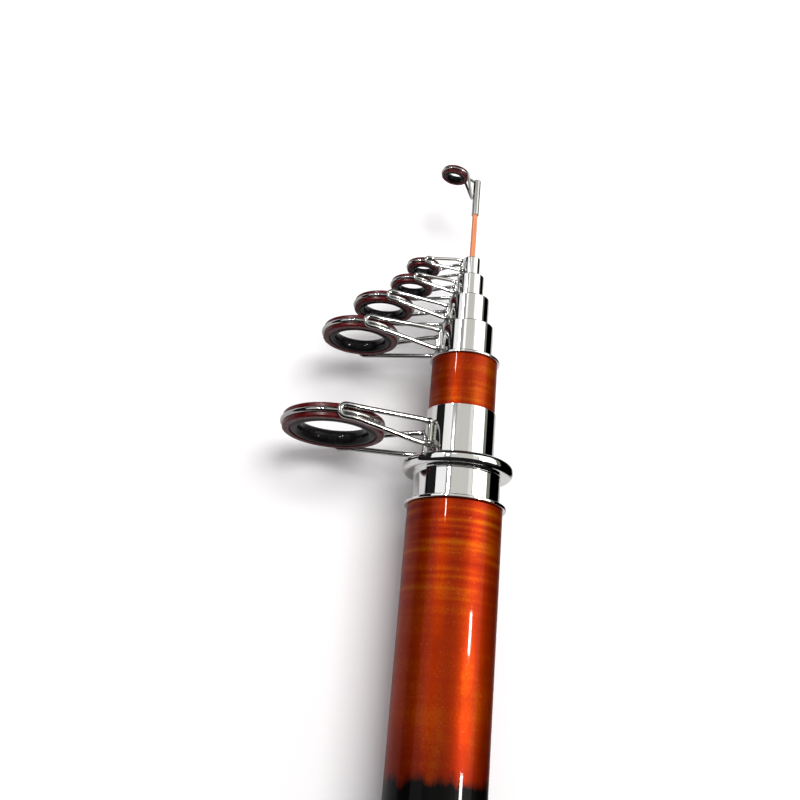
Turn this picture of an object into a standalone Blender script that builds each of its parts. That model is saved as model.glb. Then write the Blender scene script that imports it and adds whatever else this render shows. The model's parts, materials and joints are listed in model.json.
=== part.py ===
"""A telescopic spinning rod, pushed together for carrying.

The rod lies along +Y with its tip at +Y. Its guides point to -X and +Z is up.
The origin is the middle of the rubber pad on the butt end. All sizes are in metres.
"""

import math

import bmesh
import bpy

mm = 0.001

# Fits between pieces
bond_gap = 0.1 * mm
rest_gap = 0.3 * mm
jam_clearance = 0.06 * mm
sliding_clearance = 0.3 * mm
thread_clearance = 0.3 * mm

# Butt tube, the section that is held
butt_length = 500.4 * mm
butt_mouth_radius = 12.05 * mm
butt_taper = 0.00325
butt_wall = 1.5 * mm
turned_end_step = 1.55 * mm
butt_sides = 28

# Chrome collar on the butt tube's mouth
collar_height = 11.7 * mm
collar_flange_step = 0.85 * mm
collar_flange_thickness = 1.0 * mm
collar_wall = 0.55 * mm
collar_rim_step = 2.1 * mm
collar_rim_thickness = 3.2 * mm
collar_lip = 0.5 * mm

# Butt end: rubber pad, screw plug, washer and the cushion the sections rest on
pad_thickness = 4.0 * mm
pad_inset = 0.8 * mm
plug_flange_thickness = 9.6 * mm
plug_flange_step = 2.4 * mm
plug_flute_count = 20
plug_flute_depth = 0.5 * mm
plug_spigot_length = 14.6 * mm
washer_thickness = 1.2 * mm
washer_step = 1.0 * mm
cushion_thickness = 2.4 * mm
cushion_inset = 0.2 * mm
insert_wall = 1.6 * mm
insert_length = 15.5 * mm

# Handle
rear_grip_length = 131.0 * mm
rear_grip_thickness = 2.8 * mm
rear_grip_waist_thickness = 1.7 * mm
trim_length = 3.0 * mm
trim_height = 1.2 * mm
seat_length = 126.0 * mm
seat_wall = 2.1 * mm
seat_flat_depth = 1.0 * mm
foot_bed_step = 0.3 * mm
keyway_width = 3.2 * mm
keyway_depth = 0.9 * mm
hood_length = 23.0 * mm
hood_wall = 1.7 * mm
hood_crown_wall = 2.7 * mm
hood_crown_side_wall = 6.7 * mm
foot_pocket_width = 15.6 * mm
foot_pocket_height = 4.9 * mm
foot_pocket_depth = 14.0 * mm
hood_spacing = 52.0 * mm
hood_travel = 24.0 * mm
hood_crown_setback = 0.3 * mm
lock_nut_length = 12.0 * mm
lock_nut_wall = 2.7 * mm
lock_nut_flute_count = 16
lock_nut_flute_depth = 0.7 * mm
fore_grip_length = 58.0 * mm
fore_grip_thickness = 3.0 * mm
fore_grip_front_thickness = 1.7 * mm
grip_round = 3.0 * mm
edge_break = 0.5 * mm

# Sliding sections, from the thickest to the thinnest
# base_lift is how far a section's lower end stands above the cushion
# overlap is what stays inside the section before it when it is pulled out
section_2 = dict(
    mouth_radius=8.6 * mm, taper=0.0025, wall=1.0 * mm,
    base_lift=0.0 * mm, overlap=80 * mm, sides=28,
)
section_3 = dict(
    mouth_radius=6.15 * mm, taper=0.0015, wall=0.8 * mm,
    base_lift=3.1 * mm, overlap=75 * mm, sides=20,
)
section_4 = dict(
    mouth_radius=4.6 * mm, taper=0.0015, wall=0.7 * mm,
    base_lift=4.3 * mm, overlap=70 * mm, sides=20,
)
section_5 = dict(
    mouth_radius=3.0 * mm, taper=0.0011, wall=0.6 * mm,
    base_lift=6.1 * mm, overlap=65 * mm, sides=16,
)
section_6 = dict(
    mouth_radius=1.75 * mm, taper=0.0009, wall=0.45 * mm,
    base_lift=7.7 * mm, overlap=60 * mm, sides=16,
)
tip_section = dict(mouth_radius=0.705 * mm, taper=0.0013, base_lift=0.0 * mm, overlap=55 * mm, sides=12)
section_2_stand_out = 28.3 * mm
tip_stand_out = 23.0 * mm

# Chrome pieces on the sections' mouths
end_ring_step = 0.6 * mm
end_ring_thickness = 0.8 * mm
sleeve_wall = 0.23 * mm
sleeve_length = 17.4 * mm
sleeve_dip = 3.7 * mm
cup_3 = dict(wall=0.77 * mm, height=9.3 * mm)
cup_4 = dict(wall=0.75 * mm, height=7.9 * mm)
cup_5 = dict(wall=0.56 * mm, height=6.5 * mm)
cup_6 = dict(wall=0.46 * mm, height=5.3 * mm)
cup_lip = 0.4 * mm
cup_edge = 0.25 * mm

# Guides: a ceramic ring in a shock ring, in a wire hoop on two hairpin legs
# ring_rise is from the carrier's lower end to the ring's middle
# rear_inset and front_inset are from the carrier's ends to the feet
guide_1 = dict(
    reach=32.7 * mm, shock_radius=13.14 * mm, shock_wall=1.84 * mm, ceramic_wall=2.7 * mm,
    thickness=3.9 * mm, wire_radius=0.7 * mm,
    ring_rise=10.35 * mm, rear_inset=6.85 * mm, front_inset=4.5 * mm,
    foot_angle=31.0, foot_sweep=8.0, sides=22,
)
guide_2 = dict(
    reach=28.2 * mm, shock_radius=9.83 * mm, shock_wall=1.63 * mm, ceramic_wall=1.9 * mm,
    thickness=3.2 * mm, wire_radius=0.6 * mm, ring_rise=3.6 * mm, rear_inset=1.4 * mm, front_inset=2.6 * mm,
    foot_angle=18.0, foot_sweep=8.0, sides=18,
)
guide_3 = dict(
    reach=22.8 * mm, shock_radius=7.8 * mm, shock_wall=1.4 * mm, ceramic_wall=1.4 * mm,
    thickness=2.8 * mm, wire_radius=0.52 * mm, ring_rise=2.9 * mm, rear_inset=1.0 * mm, front_inset=3.2 * mm,
    foot_angle=18.0, foot_sweep=10.0, sides=18,
)
guide_4 = dict(
    reach=15.8 * mm, shock_radius=5.55 * mm, shock_wall=1.15 * mm, ceramic_wall=0.9 * mm,
    thickness=2.4 * mm, wire_radius=0.45 * mm, ring_rise=1.9 * mm, rear_inset=0.8 * mm, front_inset=2.5 * mm,
    foot_angle=20.0, foot_sweep=12.0, sides=16,
)
guide_5 = dict(
    reach=13.1 * mm, shock_radius=4.4 * mm, shock_wall=1.05 * mm, ceramic_wall=0.9 * mm,
    thickness=2.2 * mm, wire_radius=0.4 * mm, ring_rise=1.0 * mm, rear_inset=0.9 * mm, front_inset=1.4 * mm,
    foot_angle=24.0, foot_sweep=14.0, sides=16,
)
hairpin_lean = 10.0
bend_points = 5
arc_step = 15.0
wire_detail = 1

# Parts of the guides' legs, in wire radii
hairpin_pitch = 2.2
arm_spread = 4.7
foot_corner = 1.6
front_foot_end = 0.9
solder_lump = 1.45

# Tip guide, soldered to a small capped tube
tip_tube_wall = 0.18 * mm
tip_tube_length = 11.1 * mm
tip_tube_cap = 1.8 * mm
tip_guide = dict(
    reach=6.4 * mm, shock_radius=3.7 * mm, shock_wall=0.95 * mm, ceramic_wall=0.9 * mm,
    thickness=2.0 * mm, wire_radius=0.38 * mm, sides=16,
)
tip_ring_ahead = 0.9 * mm
tip_ring_lean = 8.0
tip_brace_drop = 5.8 * mm
tip_brace_angle = 38.0


def clear_scene():
    for old in list(bpy.data.objects):
        bpy.data.objects.remove(old, do_unlink=True)


clear_scene()
rod_collection = bpy.data.collections.new("fishing_rod")
shaping_collection = bpy.data.collections.new("shaping_tools")
bpy.context.scene.collection.children.link(rod_collection)
bpy.context.scene.collection.children.link(shaping_collection)


def make_material(name, colour, metallic, roughness):
    material = bpy.data.materials.new(name)
    material.use_nodes = True
    shader = material.node_tree.nodes["Principled BSDF"]
    shader.inputs["Base Color"].default_value = (*colour, 1.0)
    shader.inputs["Metallic"].default_value = metallic
    shader.inputs["Roughness"].default_value = roughness
    material.diffuse_color = (*colour, 1.0)
    return material


orange_glass_fibre = make_material("orange_glass_fibre", (0.62, 0.09, 0.01), 0.0, 0.12)
tip_glass_fibre = make_material("tip_glass_fibre", (0.85, 0.33, 0.12), 0.0, 0.3)
chrome_plate = make_material("chrome_plate", (0.75, 0.75, 0.74), 1.0, 0.06)
chrome_wire = make_material("chrome_wire", (0.72, 0.72, 0.7), 1.0, 0.1)
red_shock_ring = make_material("red_shock_ring", (0.22, 0.01, 0.015), 0.0, 0.35)
black_ceramic = make_material("black_ceramic", (0.01, 0.01, 0.011), 0.0, 0.08)
grip_foam = make_material("grip_foam", (0.02, 0.02, 0.021), 0.0, 0.9)
seat_plastic = make_material("seat_plastic", (0.018, 0.018, 0.02), 0.0, 0.35)
plug_plastic = make_material("plug_plastic", (0.025, 0.025, 0.027), 0.0, 0.45)
pad_rubber = make_material("pad_rubber", (0.03, 0.03, 0.03), 0.0, 0.8)
thread_alloy = make_material("thread_alloy", (0.6, 0.6, 0.6), 1.0, 0.35)


def add_piece(name, mesh, material, parent=None, location=(0, 0, 0), rotation=(0, 0, 0)):
    """Links a mesh as a named sub-part in its own material, shaded smooth between sharp edges."""
    mesh.name = name
    mesh.materials.clear()
    mesh.materials.append(material)
    mesh.shade_smooth()
    mesh.set_sharp_from_angle(angle=math.radians(35))
    piece = bpy.data.objects.new(name, mesh)
    piece.location = location
    piece.rotation_euler = rotation
    piece.parent = parent
    rod_collection.objects.link(piece)
    return piece


def add_joint_frame(name, y, parent=None, parent_y=0.0):
    """An empty on the rod's axis that carries the sub-parts of one moving body."""
    empty = bpy.data.objects.new(name, None)
    empty.empty_display_size = 0.01
    empty.location = (0, y - parent_y, 0)
    empty.parent = parent
    rod_collection.objects.link(empty)
    return empty


def add_shaping_tool(name, mesh, location=(0, 0, 0), rotation=(0, 0, 0), parent=None):
    """Links a mesh that only cuts or joins, so it isn't a sub-part itself."""
    mesh.name = name
    tool = bpy.data.objects.new(name, mesh)
    tool.location = location
    tool.rotation_euler = rotation
    tool.parent = parent
    tool.hide_render = True
    tool.display_type = "WIRE"
    shaping_collection.objects.link(tool)
    return tool


def shape_with(piece, tool, operation):
    modifier = piece.modifiers.new(operation.lower() + "_" + tool.name, "BOOLEAN")
    modifier.operation = operation
    modifier.object = tool
    modifier.use_self = operation == "UNION"


along_rod = (-math.pi / 2, 0, 0)


def outline_mesh(name, outline, closed):
    """Edges through (radius, height) points, for a Screw modifier to turn."""
    mesh = bpy.data.meshes.new(name)
    shape = bmesh.new()
    points = [shape.verts.new((radius, 0, height)) for radius, height in outline]
    for start, end in zip(points, points[1:]):
        shape.edges.new((start, end))
    if closed:
        shape.edges.new((points[-1], points[0]))
    shape.to_mesh(mesh)
    shape.free()
    return mesh


def turn(piece, sides):
    """Turns an outline about the local Z axis, which lies along the rod."""
    screw = piece.modifiers.new("turn", "SCREW")
    screw.axis = "Z"
    screw.steps = sides
    screw.render_steps = sides
    screw.use_merge_vertices = True
    screw.merge_threshold = 0.000001
    screw.use_smooth_shade = True


def add_turned(name, outline, sides, material, parent, location, closed=True, rotation=along_rod):
    """A turned sub-part whose outline runs down its outer side, from the tip end to the butt end."""
    mesh = outline_mesh(name, outline, closed)
    piece = add_piece(name, mesh, material, parent, location, rotation)
    turn(piece, sides)
    return piece


def add_turned_tool(name, outline, sides, location, parent=None):
    tool = add_shaping_tool(name, outline_mesh(name, outline, False), location, along_rod, parent)
    turn(tool, sides)
    return tool


def box_mesh(name, low, high):
    mesh = bpy.data.meshes.new(name)
    shape = bmesh.new()
    bmesh.ops.create_cube(shape, size=1.0)
    for vert in shape.verts:
        for axis in range(3):
            vert.co[axis] = low[axis] if vert.co[axis] < 0 else high[axis]
    shape.to_mesh(mesh)
    shape.free()
    return mesh


def fluted_mesh(name, radius, flute_depth, flute_count, length):
    """A round grip edge with flutes, bevelled at both ends, along local Z."""
    mesh = bpy.data.meshes.new(name)
    shape = bmesh.new()
    rings = []
    steps = ((0.0, edge_break), (edge_break, 0.0), (length - edge_break, 0.0), (length, edge_break))
    for height, inset in steps:
        ring = []
        for step in range(flute_count * 2):
            angle = math.pi * step / flute_count
            reach = radius - inset - (flute_depth if step % 2 else 0.0)
            ring.append(shape.verts.new((reach * math.cos(angle), reach * math.sin(angle), height)))
        rings.append(ring)
    shape.faces.new(list(reversed(rings[0])))
    shape.faces.new(rings[-1])
    for lower, upper in zip(rings, rings[1:]):
        for step in range(len(lower)):
            following = (step + 1) % len(lower)
            shape.faces.new((lower[step], lower[following], upper[following], upper[step]))
    shape.to_mesh(mesh)
    shape.free()
    return mesh


# Places along the rod that every piece is set from
plug_start = pad_thickness + rest_gap
washer_start = plug_start + plug_flange_thickness + rest_gap
butt_start = washer_start + washer_thickness + rest_gap
spigot_end = plug_start + plug_flange_thickness + plug_spigot_length
cushion_start = spigot_end + bond_gap
section_floor = cushion_start + cushion_thickness + rest_gap
butt_mouth = butt_start + butt_length
collar_top = butt_mouth + bond_gap + collar_lip
collar_bottom = collar_top - collar_height
sleeve_start = collar_top - sleeve_dip
section_2_mouth = butt_mouth + section_2_stand_out
end_ring_start = section_2_mouth + bond_gap
end_ring_top = end_ring_start + end_ring_thickness
turned_end_radius = butt_mouth_radius - turned_end_step


def stack_cup(cup, below):
    """Sets a mouth cup on the piece below it and returns where the cup ends."""
    cup["start"] = below + rest_gap
    cup["end"] = cup["start"] + cup["height"]
    return cup["end"]


cup_3_end = stack_cup(cup_3, end_ring_top)
cup_4_end = stack_cup(cup_4, cup_3_end)
cup_5_end = stack_cup(cup_5, cup_4_end)
cup_6_end = stack_cup(cup_6, cup_5_end)

section_2["mouth"] = section_2_mouth
section_3["mouth"] = cup_3_end - cup_lip - bond_gap
section_4["mouth"] = cup_4_end - cup_lip - bond_gap
section_5["mouth"] = cup_5_end - cup_lip - bond_gap
section_6["mouth"] = cup_6_end - cup_lip - bond_gap
tip_section["mouth"] = cup_6_end + tip_stand_out
for section in (section_2, section_3, section_4, section_5, section_6, tip_section):
    section["base"] = section_floor + section["base_lift"]
    section["length"] = section["mouth"] - section["base"]


def butt_radius(y):
    """Outer radius of the butt tube, which thickens towards the hand."""
    return butt_mouth_radius + butt_taper * (collar_bottom - y)


def section_radius(section, distance):
    """Outer radius of a section at a distance back from its mouth."""
    return section["mouth_radius"] + section["taper"] * distance


def jam_bore(inner):
    """Bore radius at a mouth, where the inner section jams when it is pulled out."""
    return section_radius(inner, inner["length"] - inner["overlap"]) + jam_clearance


def inner_profile(outer_length, inner):
    """The bore's two points that match the inner section's taper over their overlap."""
    deep_bore = section_radius(inner, inner["length"]) + jam_clearance
    return [(deep_bore, outer_length - inner["overlap"]), (jam_bore(inner), outer_length)]


butt_bore = jam_bore(section_2)
cups = ((cup_3, section_3, section_4), (cup_4, section_4, section_5))
cups += ((cup_5, section_5, section_6), (cup_6, section_6, tip_section))
for cup, section, inner in cups:
    cup["tube_bore"] = section_radius(section, cup["height"]) + bond_gap
    cup["radius"] = cup["tube_bore"] + cup["wall"]
    cup["lip_bore"] = jam_bore(inner) + bond_gap

sleeve_bore = section_radius(section_2, section_2_mouth - sleeve_start) + bond_gap
sleeve_radius = sleeve_bore + sleeve_wall

# Bodies: the butt is fixed and each section slides in the one before it
butt_frame = add_joint_frame("butt_body", 0.0)
section_2_frame = add_joint_frame("section_2_slide", section_2["base"], butt_frame)
section_3_frame = add_joint_frame("section_3_slide", section_3["base"], section_2_frame, section_2["base"])
section_4_frame = add_joint_frame("section_4_slide", section_4["base"], section_3_frame, section_3["base"])
section_5_frame = add_joint_frame("section_5_slide", section_5["base"], section_4_frame, section_4["base"])
section_6_frame = add_joint_frame("section_6_slide", section_6["base"], section_5_frame, section_5["base"])
tip_frame = add_joint_frame("tip_slide", tip_section["base"], section_6_frame, section_6["base"])
washer_frame = add_joint_frame("plug_washer_slide", washer_start, butt_frame)
plug_frame = add_joint_frame("end_plug_turn", plug_start, washer_frame, washer_start)


def make_butt_tube():
    """The orange tube: its end is turned down for the collar, and its bore is reamed for section 2."""
    shoulder = collar_bottom - bond_gap - butt_start
    outline = [
        (turned_end_radius, butt_length),
        (turned_end_radius, shoulder),
        (butt_mouth_radius, shoulder),
        (butt_radius(butt_start), 0.0),
        (butt_radius(butt_start) - butt_wall, 0.0),
    ]
    outline += inner_profile(butt_length, section_2)
    add_turned("butt_tube", outline, butt_sides, orange_glass_fibre, butt_frame, (0, butt_start, 0))


def make_butt_collar():
    """Chrome ferrule: a thin flange, a straight barrel and a thick rolled rim with an inner lip."""
    barrel_bore = turned_end_radius + bond_gap
    barrel_radius = barrel_bore + collar_wall
    flange_radius = butt_mouth_radius + collar_flange_step
    rim_radius = butt_mouth_radius + collar_rim_step
    rim_round = collar_rim_thickness * 0.3
    lip_bore = butt_bore + bond_gap
    outline = [
        (lip_bore, collar_height),
        (rim_radius - rim_round, collar_height),
        (rim_radius, collar_height - rim_round),
        (rim_radius, collar_height - collar_rim_thickness + rim_round),
        (rim_radius - rim_round, collar_height - collar_rim_thickness),
        (barrel_radius, collar_height - collar_rim_thickness),
        (barrel_radius, collar_flange_thickness),
        (flange_radius, collar_flange_thickness * 0.7),
        (flange_radius, 0.0),
        (barrel_bore, 0.0),
        (barrel_bore, collar_height - collar_lip),
        (lip_bore, collar_height - collar_lip),
    ]
    add_turned("butt_collar", outline, butt_sides, chrome_plate, butt_frame, (0, collar_bottom, 0))


def make_section_tube(name, section, parent, inner):
    """A tapered tube whose bore matches the next section over the length where they jam."""
    base_radius = section_radius(section, section["length"])
    outline = [
        (section["mouth_radius"], section["length"]),
        (base_radius, 0.0),
        (base_radius - section["wall"], 0.0),
    ]
    outline += inner_profile(section["length"], inner)
    add_turned(name, outline, section["sides"], orange_glass_fibre, parent, (0, 0, 0))


def make_tip_rod():
    """The solid glass tip, a long thin cone."""
    length = tip_section["length"]
    outline = [
        (0.0, length),
        (tip_section["mouth_radius"], length),
        (section_radius(tip_section, length), 0.0),
        (0.0, 0.0),
    ]
    add_turned("tip_rod", outline, tip_section["sides"], tip_glass_fibre, tip_frame, (0, 0, 0), closed=False)


def make_end_ring():
    """Thin chrome washer glued on the mouth of section 2, for the next cup to stop against."""
    bore = jam_bore(section_3) + bond_gap
    radius = section_2["mouth_radius"] + end_ring_step
    edge = end_ring_thickness * 0.3
    outline = [
        (bore, end_ring_thickness),
        (radius - edge, end_ring_thickness),
        (radius, end_ring_thickness - edge),
        (radius, 0.0),
        (bore, 0.0),
    ]
    place = (0, end_ring_start - section_2["base"], 0)
    add_turned("section_2_end_ring", outline, section_2["sides"], chrome_plate, section_2_frame, place)


def make_guide_sleeve():
    """Chrome sleeve round section 2 that carries the largest guide."""
    edge = sleeve_wall * 0.6
    outline = [
        (sleeve_radius - edge, sleeve_length),
        (sleeve_radius, sleeve_length - edge),
        (sleeve_radius, edge),
        (sleeve_radius - edge, 0.0),
        (sleeve_bore, 0.0),
        (sleeve_bore, sleeve_length),
    ]
    place = (0, sleeve_start - section_2["base"], 0)
    add_turned("guide_1_sleeve", outline, section_2["sides"], chrome_plate, section_2_frame, place)


def make_cup(name, cup, section, parent):
    """Chrome cup over a section's mouth. Its lip covers the tube's end, and the next cup rests on it."""
    height = cup["height"]
    outline = [
        (cup["lip_bore"], height),
        (cup["radius"] - cup_edge, height),
        (cup["radius"], height - cup_edge),
        (cup["radius"], 0.0),
        (cup["tube_bore"], 0.0),
        (cup["tube_bore"], height - cup_lip),
        (cup["lip_bore"], height - cup_lip),
    ]
    add_turned(name, outline, section["sides"], chrome_plate, parent, (0, cup["start"] - section["base"], 0))


def ceramic_radius(guide):
    """Outer radius of the ceramic, which is pressed into the shock ring."""
    return guide["shock_radius"] - guide["shock_wall"] - bond_gap


def hoop_radius(guide):
    """Centre line of the wire hoop, which sits half into the shock ring's groove."""
    return guide["shock_radius"] - bond_gap


def make_shock_ring(name, guide, parent, place, rotation):
    """Dark red ring with a groove round it, where the wire hoop sits."""
    half = guide["thickness"] / 2
    edge = guide["thickness"] * 0.12
    inner = guide["shock_radius"] - guide["shock_wall"]
    outer = guide["shock_radius"]
    groove = guide["wire_radius"] + bond_gap
    groove_floor = hoop_radius(guide) - groove
    outline = [
        (inner, half),
        (outer - edge, half),
        (outer, half - edge),
        (outer, groove),
        (groove_floor, groove * 0.55),
        (groove_floor, -groove * 0.55),
        (outer, -groove),
        (outer, edge - half),
        (outer - edge, -half),
        (inner, -half),
    ]
    add_turned(name, outline, guide["sides"], red_shock_ring, parent, place, rotation=rotation)


def make_ceramic(name, guide, parent, place, rotation):
    """Polished ceramic ring with a rounded throat for the line."""
    half = guide["thickness"] / 2
    outer = ceramic_radius(guide)
    throat = outer - guide["ceramic_wall"]
    crest = outer - guide["ceramic_wall"] * 0.4
    outline = [
        (crest, half * 1.05),
        (outer, half * 0.86),
        (outer, -half * 0.86),
        (crest, -half * 1.05),
        (throat + guide["ceramic_wall"] * 0.25, -half * 0.8),
        (throat, 0.0),
        (throat + guide["ceramic_wall"] * 0.25, half * 0.8),
    ]
    add_turned(name, outline, guide["sides"], black_ceramic, parent, place, rotation=rotation)


def wire_mesh(name, points, radius):
    """A round wire through the points, with closed ends, as a welded mesh."""
    curve = bpy.data.curves.new(name, "CURVE")
    curve.dimensions = "3D"
    curve.bevel_depth = radius
    curve.bevel_resolution = wire_detail
    curve.use_fill_caps = True
    spline = curve.splines.new("POLY")
    spline.points.add(len(points) - 1)
    for target, point in zip(spline.points, points):
        target.co = (*point, 1.0)
    wire = bpy.data.objects.new(name, curve)
    shaping_collection.objects.link(wire)
    bpy.context.view_layer.update()
    mesh = bpy.data.meshes.new_from_object(wire.evaluated_get(bpy.context.evaluated_depsgraph_get()))
    bpy.data.objects.remove(wire)
    shape = bmesh.new()
    shape.from_mesh(mesh)
    bmesh.ops.remove_doubles(shape, verts=shape.verts, dist=radius * 0.01)
    bmesh.ops.recalc_face_normals(shape, faces=shape.faces)
    shape.to_mesh(mesh)
    shape.free()
    return mesh


def hoop_mesh(guide):
    bpy.ops.mesh.primitive_torus_add(
        major_segments=guide["sides"],
        minor_segments=4 + 2 * wire_detail,
        major_radius=hoop_radius(guide),
        minor_radius=guide["wire_radius"],
    )
    made = bpy.context.object
    mesh = made.data
    bpy.data.objects.remove(made)
    return mesh


def hairpin_points(guide, carrier_radius, rear_foot, front_foot, side):
    """Centre line of one leg: up one arm from its foot, round the bend over the hoop, and down the other.

    side is 1 for the leg above the ring and -1 for the leg below it. The line hugs the ring from
    the bend to where it leaves straight for the foot, and the arms spread apart near the foot. The
    rear arm ends there. The front arm turns back along the carrier and ends against the rear one.
    """
    wire = guide["wire_radius"]
    ring_line = guide["shock_radius"] + wire + bond_gap
    foot_line = carrier_radius + wire + bond_gap
    half_pitch = hairpin_pitch * wire
    foot_angle = math.radians(guide["foot_angle"])
    foot_x = -foot_line * math.cos(foot_angle)
    foot_z = foot_line * math.sin(foot_angle)
    across = foot_x + guide["reach"]
    away = math.hypot(across, foot_z)
    leave_angle = math.atan2(across, foot_z) - math.acos(ring_line / away)
    leave_x = ring_line * math.sin(leave_angle) - guide["reach"]
    leave_z = ring_line * math.cos(leave_angle)
    straight = math.hypot(foot_x - leave_x, foot_z - leave_z)
    heading_x = (foot_x - leave_x) / straight
    heading_z = (foot_z - leave_z) / straight
    bend_angle = math.radians(hairpin_lean)

    def on_ring(angle, y):
        return (ring_line * math.sin(angle) - guide["reach"], y, side * ring_line * math.cos(angle))

    def on_foot(angle, y):
        return (-foot_line * math.cos(angle), y, side * foot_line * math.sin(angle))

    def before_foot(distance, y):
        return (foot_x - heading_x * distance, y, side * (foot_z - heading_z * distance))

    def arm(foot_y, toward):
        """Points of one arm, from the bend's end to the foot's end."""
        points = []
        hug_steps = max(1, round(math.degrees(leave_angle - bend_angle) / arc_step))
        for step in range(1, hug_steps + 1):
            angle = bend_angle + (leave_angle - bend_angle) * step / hug_steps
            points.append(on_ring(angle, toward * half_pitch))
        corner = foot_corner * wire
        points.append(before_foot(arm_spread * wire, foot_y))
        points.append(before_foot(corner, foot_y))
        if toward < 0:
            turned = foot_angle + corner / foot_line
            points.append(on_foot(turned, foot_y))
            points.append(on_foot(turned + math.radians(guide["foot_sweep"]), foot_y))
        else:
            points.append(on_foot(foot_angle, foot_y - corner * 0.5))
            points.append(on_foot(foot_angle, foot_y - corner * 1.5))
            points.append(on_foot(foot_angle, rear_foot + wire * front_foot_end))
        return points

    bend = []
    for step in range(bend_points):
        angle = math.pi * (step / (bend_points - 1) - 0.5)
        lean = bend_angle - half_pitch * math.cos(angle) / ring_line
        bend.append(on_ring(lean, half_pitch * math.sin(angle)))
    return list(reversed(arm(rear_foot, -1))) + bend + arm(front_foot, 1)


def lump_mesh(name, radius):
    """A small ball of solder."""
    mesh = bpy.data.meshes.new(name)
    shape = bmesh.new()
    bmesh.ops.create_uvsphere(shape, u_segments=8, v_segments=5, radius=radius)
    shape.to_mesh(mesh)
    shape.free()
    return mesh


def make_guide(number, guide, carrier_radius, carrier_start, carrier_length, parent):
    """One guide: ceramic, shock ring, and a frame of hoop, legs and solder at the feet."""
    name = "guide_%d" % number
    ring_y = carrier_start + guide["ring_rise"]
    rear_foot = guide["rear_inset"] - guide["ring_rise"]
    front_foot = carrier_length - guide["front_inset"] - guide["ring_rise"]
    ring_place = (-guide["reach"], ring_y, 0)
    frame = add_piece(name + "_frame", hoop_mesh(guide), chrome_wire, parent, ring_place, along_rod)
    for label, side in (("upper", 1), ("lower", -1)):
        leg_name = name + "_" + label + "_leg"
        points = hairpin_points(guide, carrier_radius, rear_foot, front_foot, side)
        mesh = wire_mesh(leg_name, points, guide["wire_radius"])
        shape_with(frame, add_shaping_tool(leg_name, mesh, (0, ring_y, 0), parent=parent), "UNION")
        lump_radius = guide["wire_radius"] * solder_lump
        lump_line = carrier_radius + bond_gap + lump_radius
        foot_angle = math.radians(guide["foot_angle"])
        lump_x = -lump_line * math.cos(foot_angle)
        lump_z = side * lump_line * math.sin(foot_angle)
        for end, foot in (("rear", rear_foot), ("front", front_foot)):
            lump_name = leg_name + "_" + end + "_solder"
            place = (lump_x, ring_y + foot, lump_z)
            lump = add_shaping_tool(lump_name, lump_mesh(lump_name, lump_radius), place, parent=parent)
            shape_with(frame, lump, "UNION")
    make_shock_ring(name + "_shock_ring", guide, parent, ring_place, along_rod)
    make_ceramic(name + "_ceramic", guide, parent, ring_place, along_rod)


def make_tip_top():
    """Tip guide: a capped tube on the tip rod, with a leaning ring held by a hoop and two braces."""
    wire = tip_guide["wire_radius"]
    tube_end = tip_section["length"] + bond_gap + tip_tube_cap
    tube_start = tube_end - tip_tube_length
    bore = section_radius(tip_section, tip_tube_length) + bond_gap
    tube_radius = bore + tip_tube_wall
    outline = [
        (0.0, tip_tube_length),
        (tube_radius * 0.7, tip_tube_length),
        (tube_radius, tip_tube_length - tube_radius * 0.3),
        (tube_radius, 0.0),
        (bore, 0.0),
        (bore, tip_tube_length - tip_tube_cap),
        (0.0, tip_tube_length - tip_tube_cap),
    ]
    sides = tip_section["sides"]
    tube_place = (0, tube_start, 0)
    frame = add_turned("tip_top_frame", outline, sides, chrome_wire, tip_frame, tube_place, closed=False)
    ring_y = tube_end + tip_ring_ahead
    ring_place = (-tip_guide["reach"], ring_y, 0)
    lean = math.radians(tip_ring_lean)
    ring_turn = (-math.pi / 2, 0, -lean)
    hoop = add_shaping_tool("tip_hoop", hoop_mesh(tip_guide), ring_place, ring_turn, tip_frame)
    shape_with(frame, hoop, "UNION")

    brace_line = tip_guide["shock_radius"] + wire + bond_gap * 0.5
    brace_angle = math.radians(tip_brace_angle)
    across = brace_line * math.cos(brace_angle)
    for label, side in (("upper", 1), ("lower", -1)):
        points = [
            (-tube_radius - wire * 0.6, tube_end - tip_brace_drop, side * wire * 0.8),
            (-tube_radius - wire * 1.8, tube_end - tip_brace_drop + wire * 3, side * wire * 1.4),
            (
                -tip_guide["reach"] + across * math.cos(lean),
                ring_y - across * math.sin(lean) + wire * 0.6,
                side * brace_line * math.sin(brace_angle),
            ),
        ]
        brace_name = "tip_%s_brace" % label
        mesh = wire_mesh(brace_name, points, wire)
        shape_with(frame, add_shaping_tool(brace_name, mesh, parent=tip_frame), "UNION")
    link_line = hoop_radius(tip_guide) + wire * 0.7
    link_points = [
        (-tube_radius * 0.13, tube_end - tip_tube_cap * 0.5, 0),
        (-tip_guide["reach"] + link_line * math.cos(lean), ring_y - link_line * math.sin(lean), 0),
    ]
    link = add_shaping_tool("tip_link", wire_mesh("tip_link", link_points, wire), parent=tip_frame)
    shape_with(frame, link, "UNION")
    make_shock_ring("tip_top_shock_ring", tip_guide, tip_frame, ring_place, ring_turn)
    make_ceramic("tip_top_ceramic", tip_guide, tip_frame, ring_place, ring_turn)


# Places of the handle's pieces
rear_grip_start = butt_start
rear_trim_start = rear_grip_start + rear_grip_length + rest_gap
seat_start = rear_trim_start + trim_length + rest_gap
seat_end = seat_start + seat_length
fixed_hood_mouth = seat_start + hood_length
sliding_hood_mouth = fixed_hood_mouth + hood_spacing
lock_nut_start = sliding_hood_mouth + hood_length + rest_gap
seat_trim_start = seat_end + rest_gap
fore_grip_start = seat_trim_start + trim_length + rest_gap
fore_trim_start = fore_grip_start + fore_grip_length + rest_gap
seat_radius = butt_radius(seat_start) + bond_gap + seat_wall
seat_flat_x = -(seat_radius - seat_flat_depth)
moving_bore = seat_radius + sliding_clearance

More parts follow.
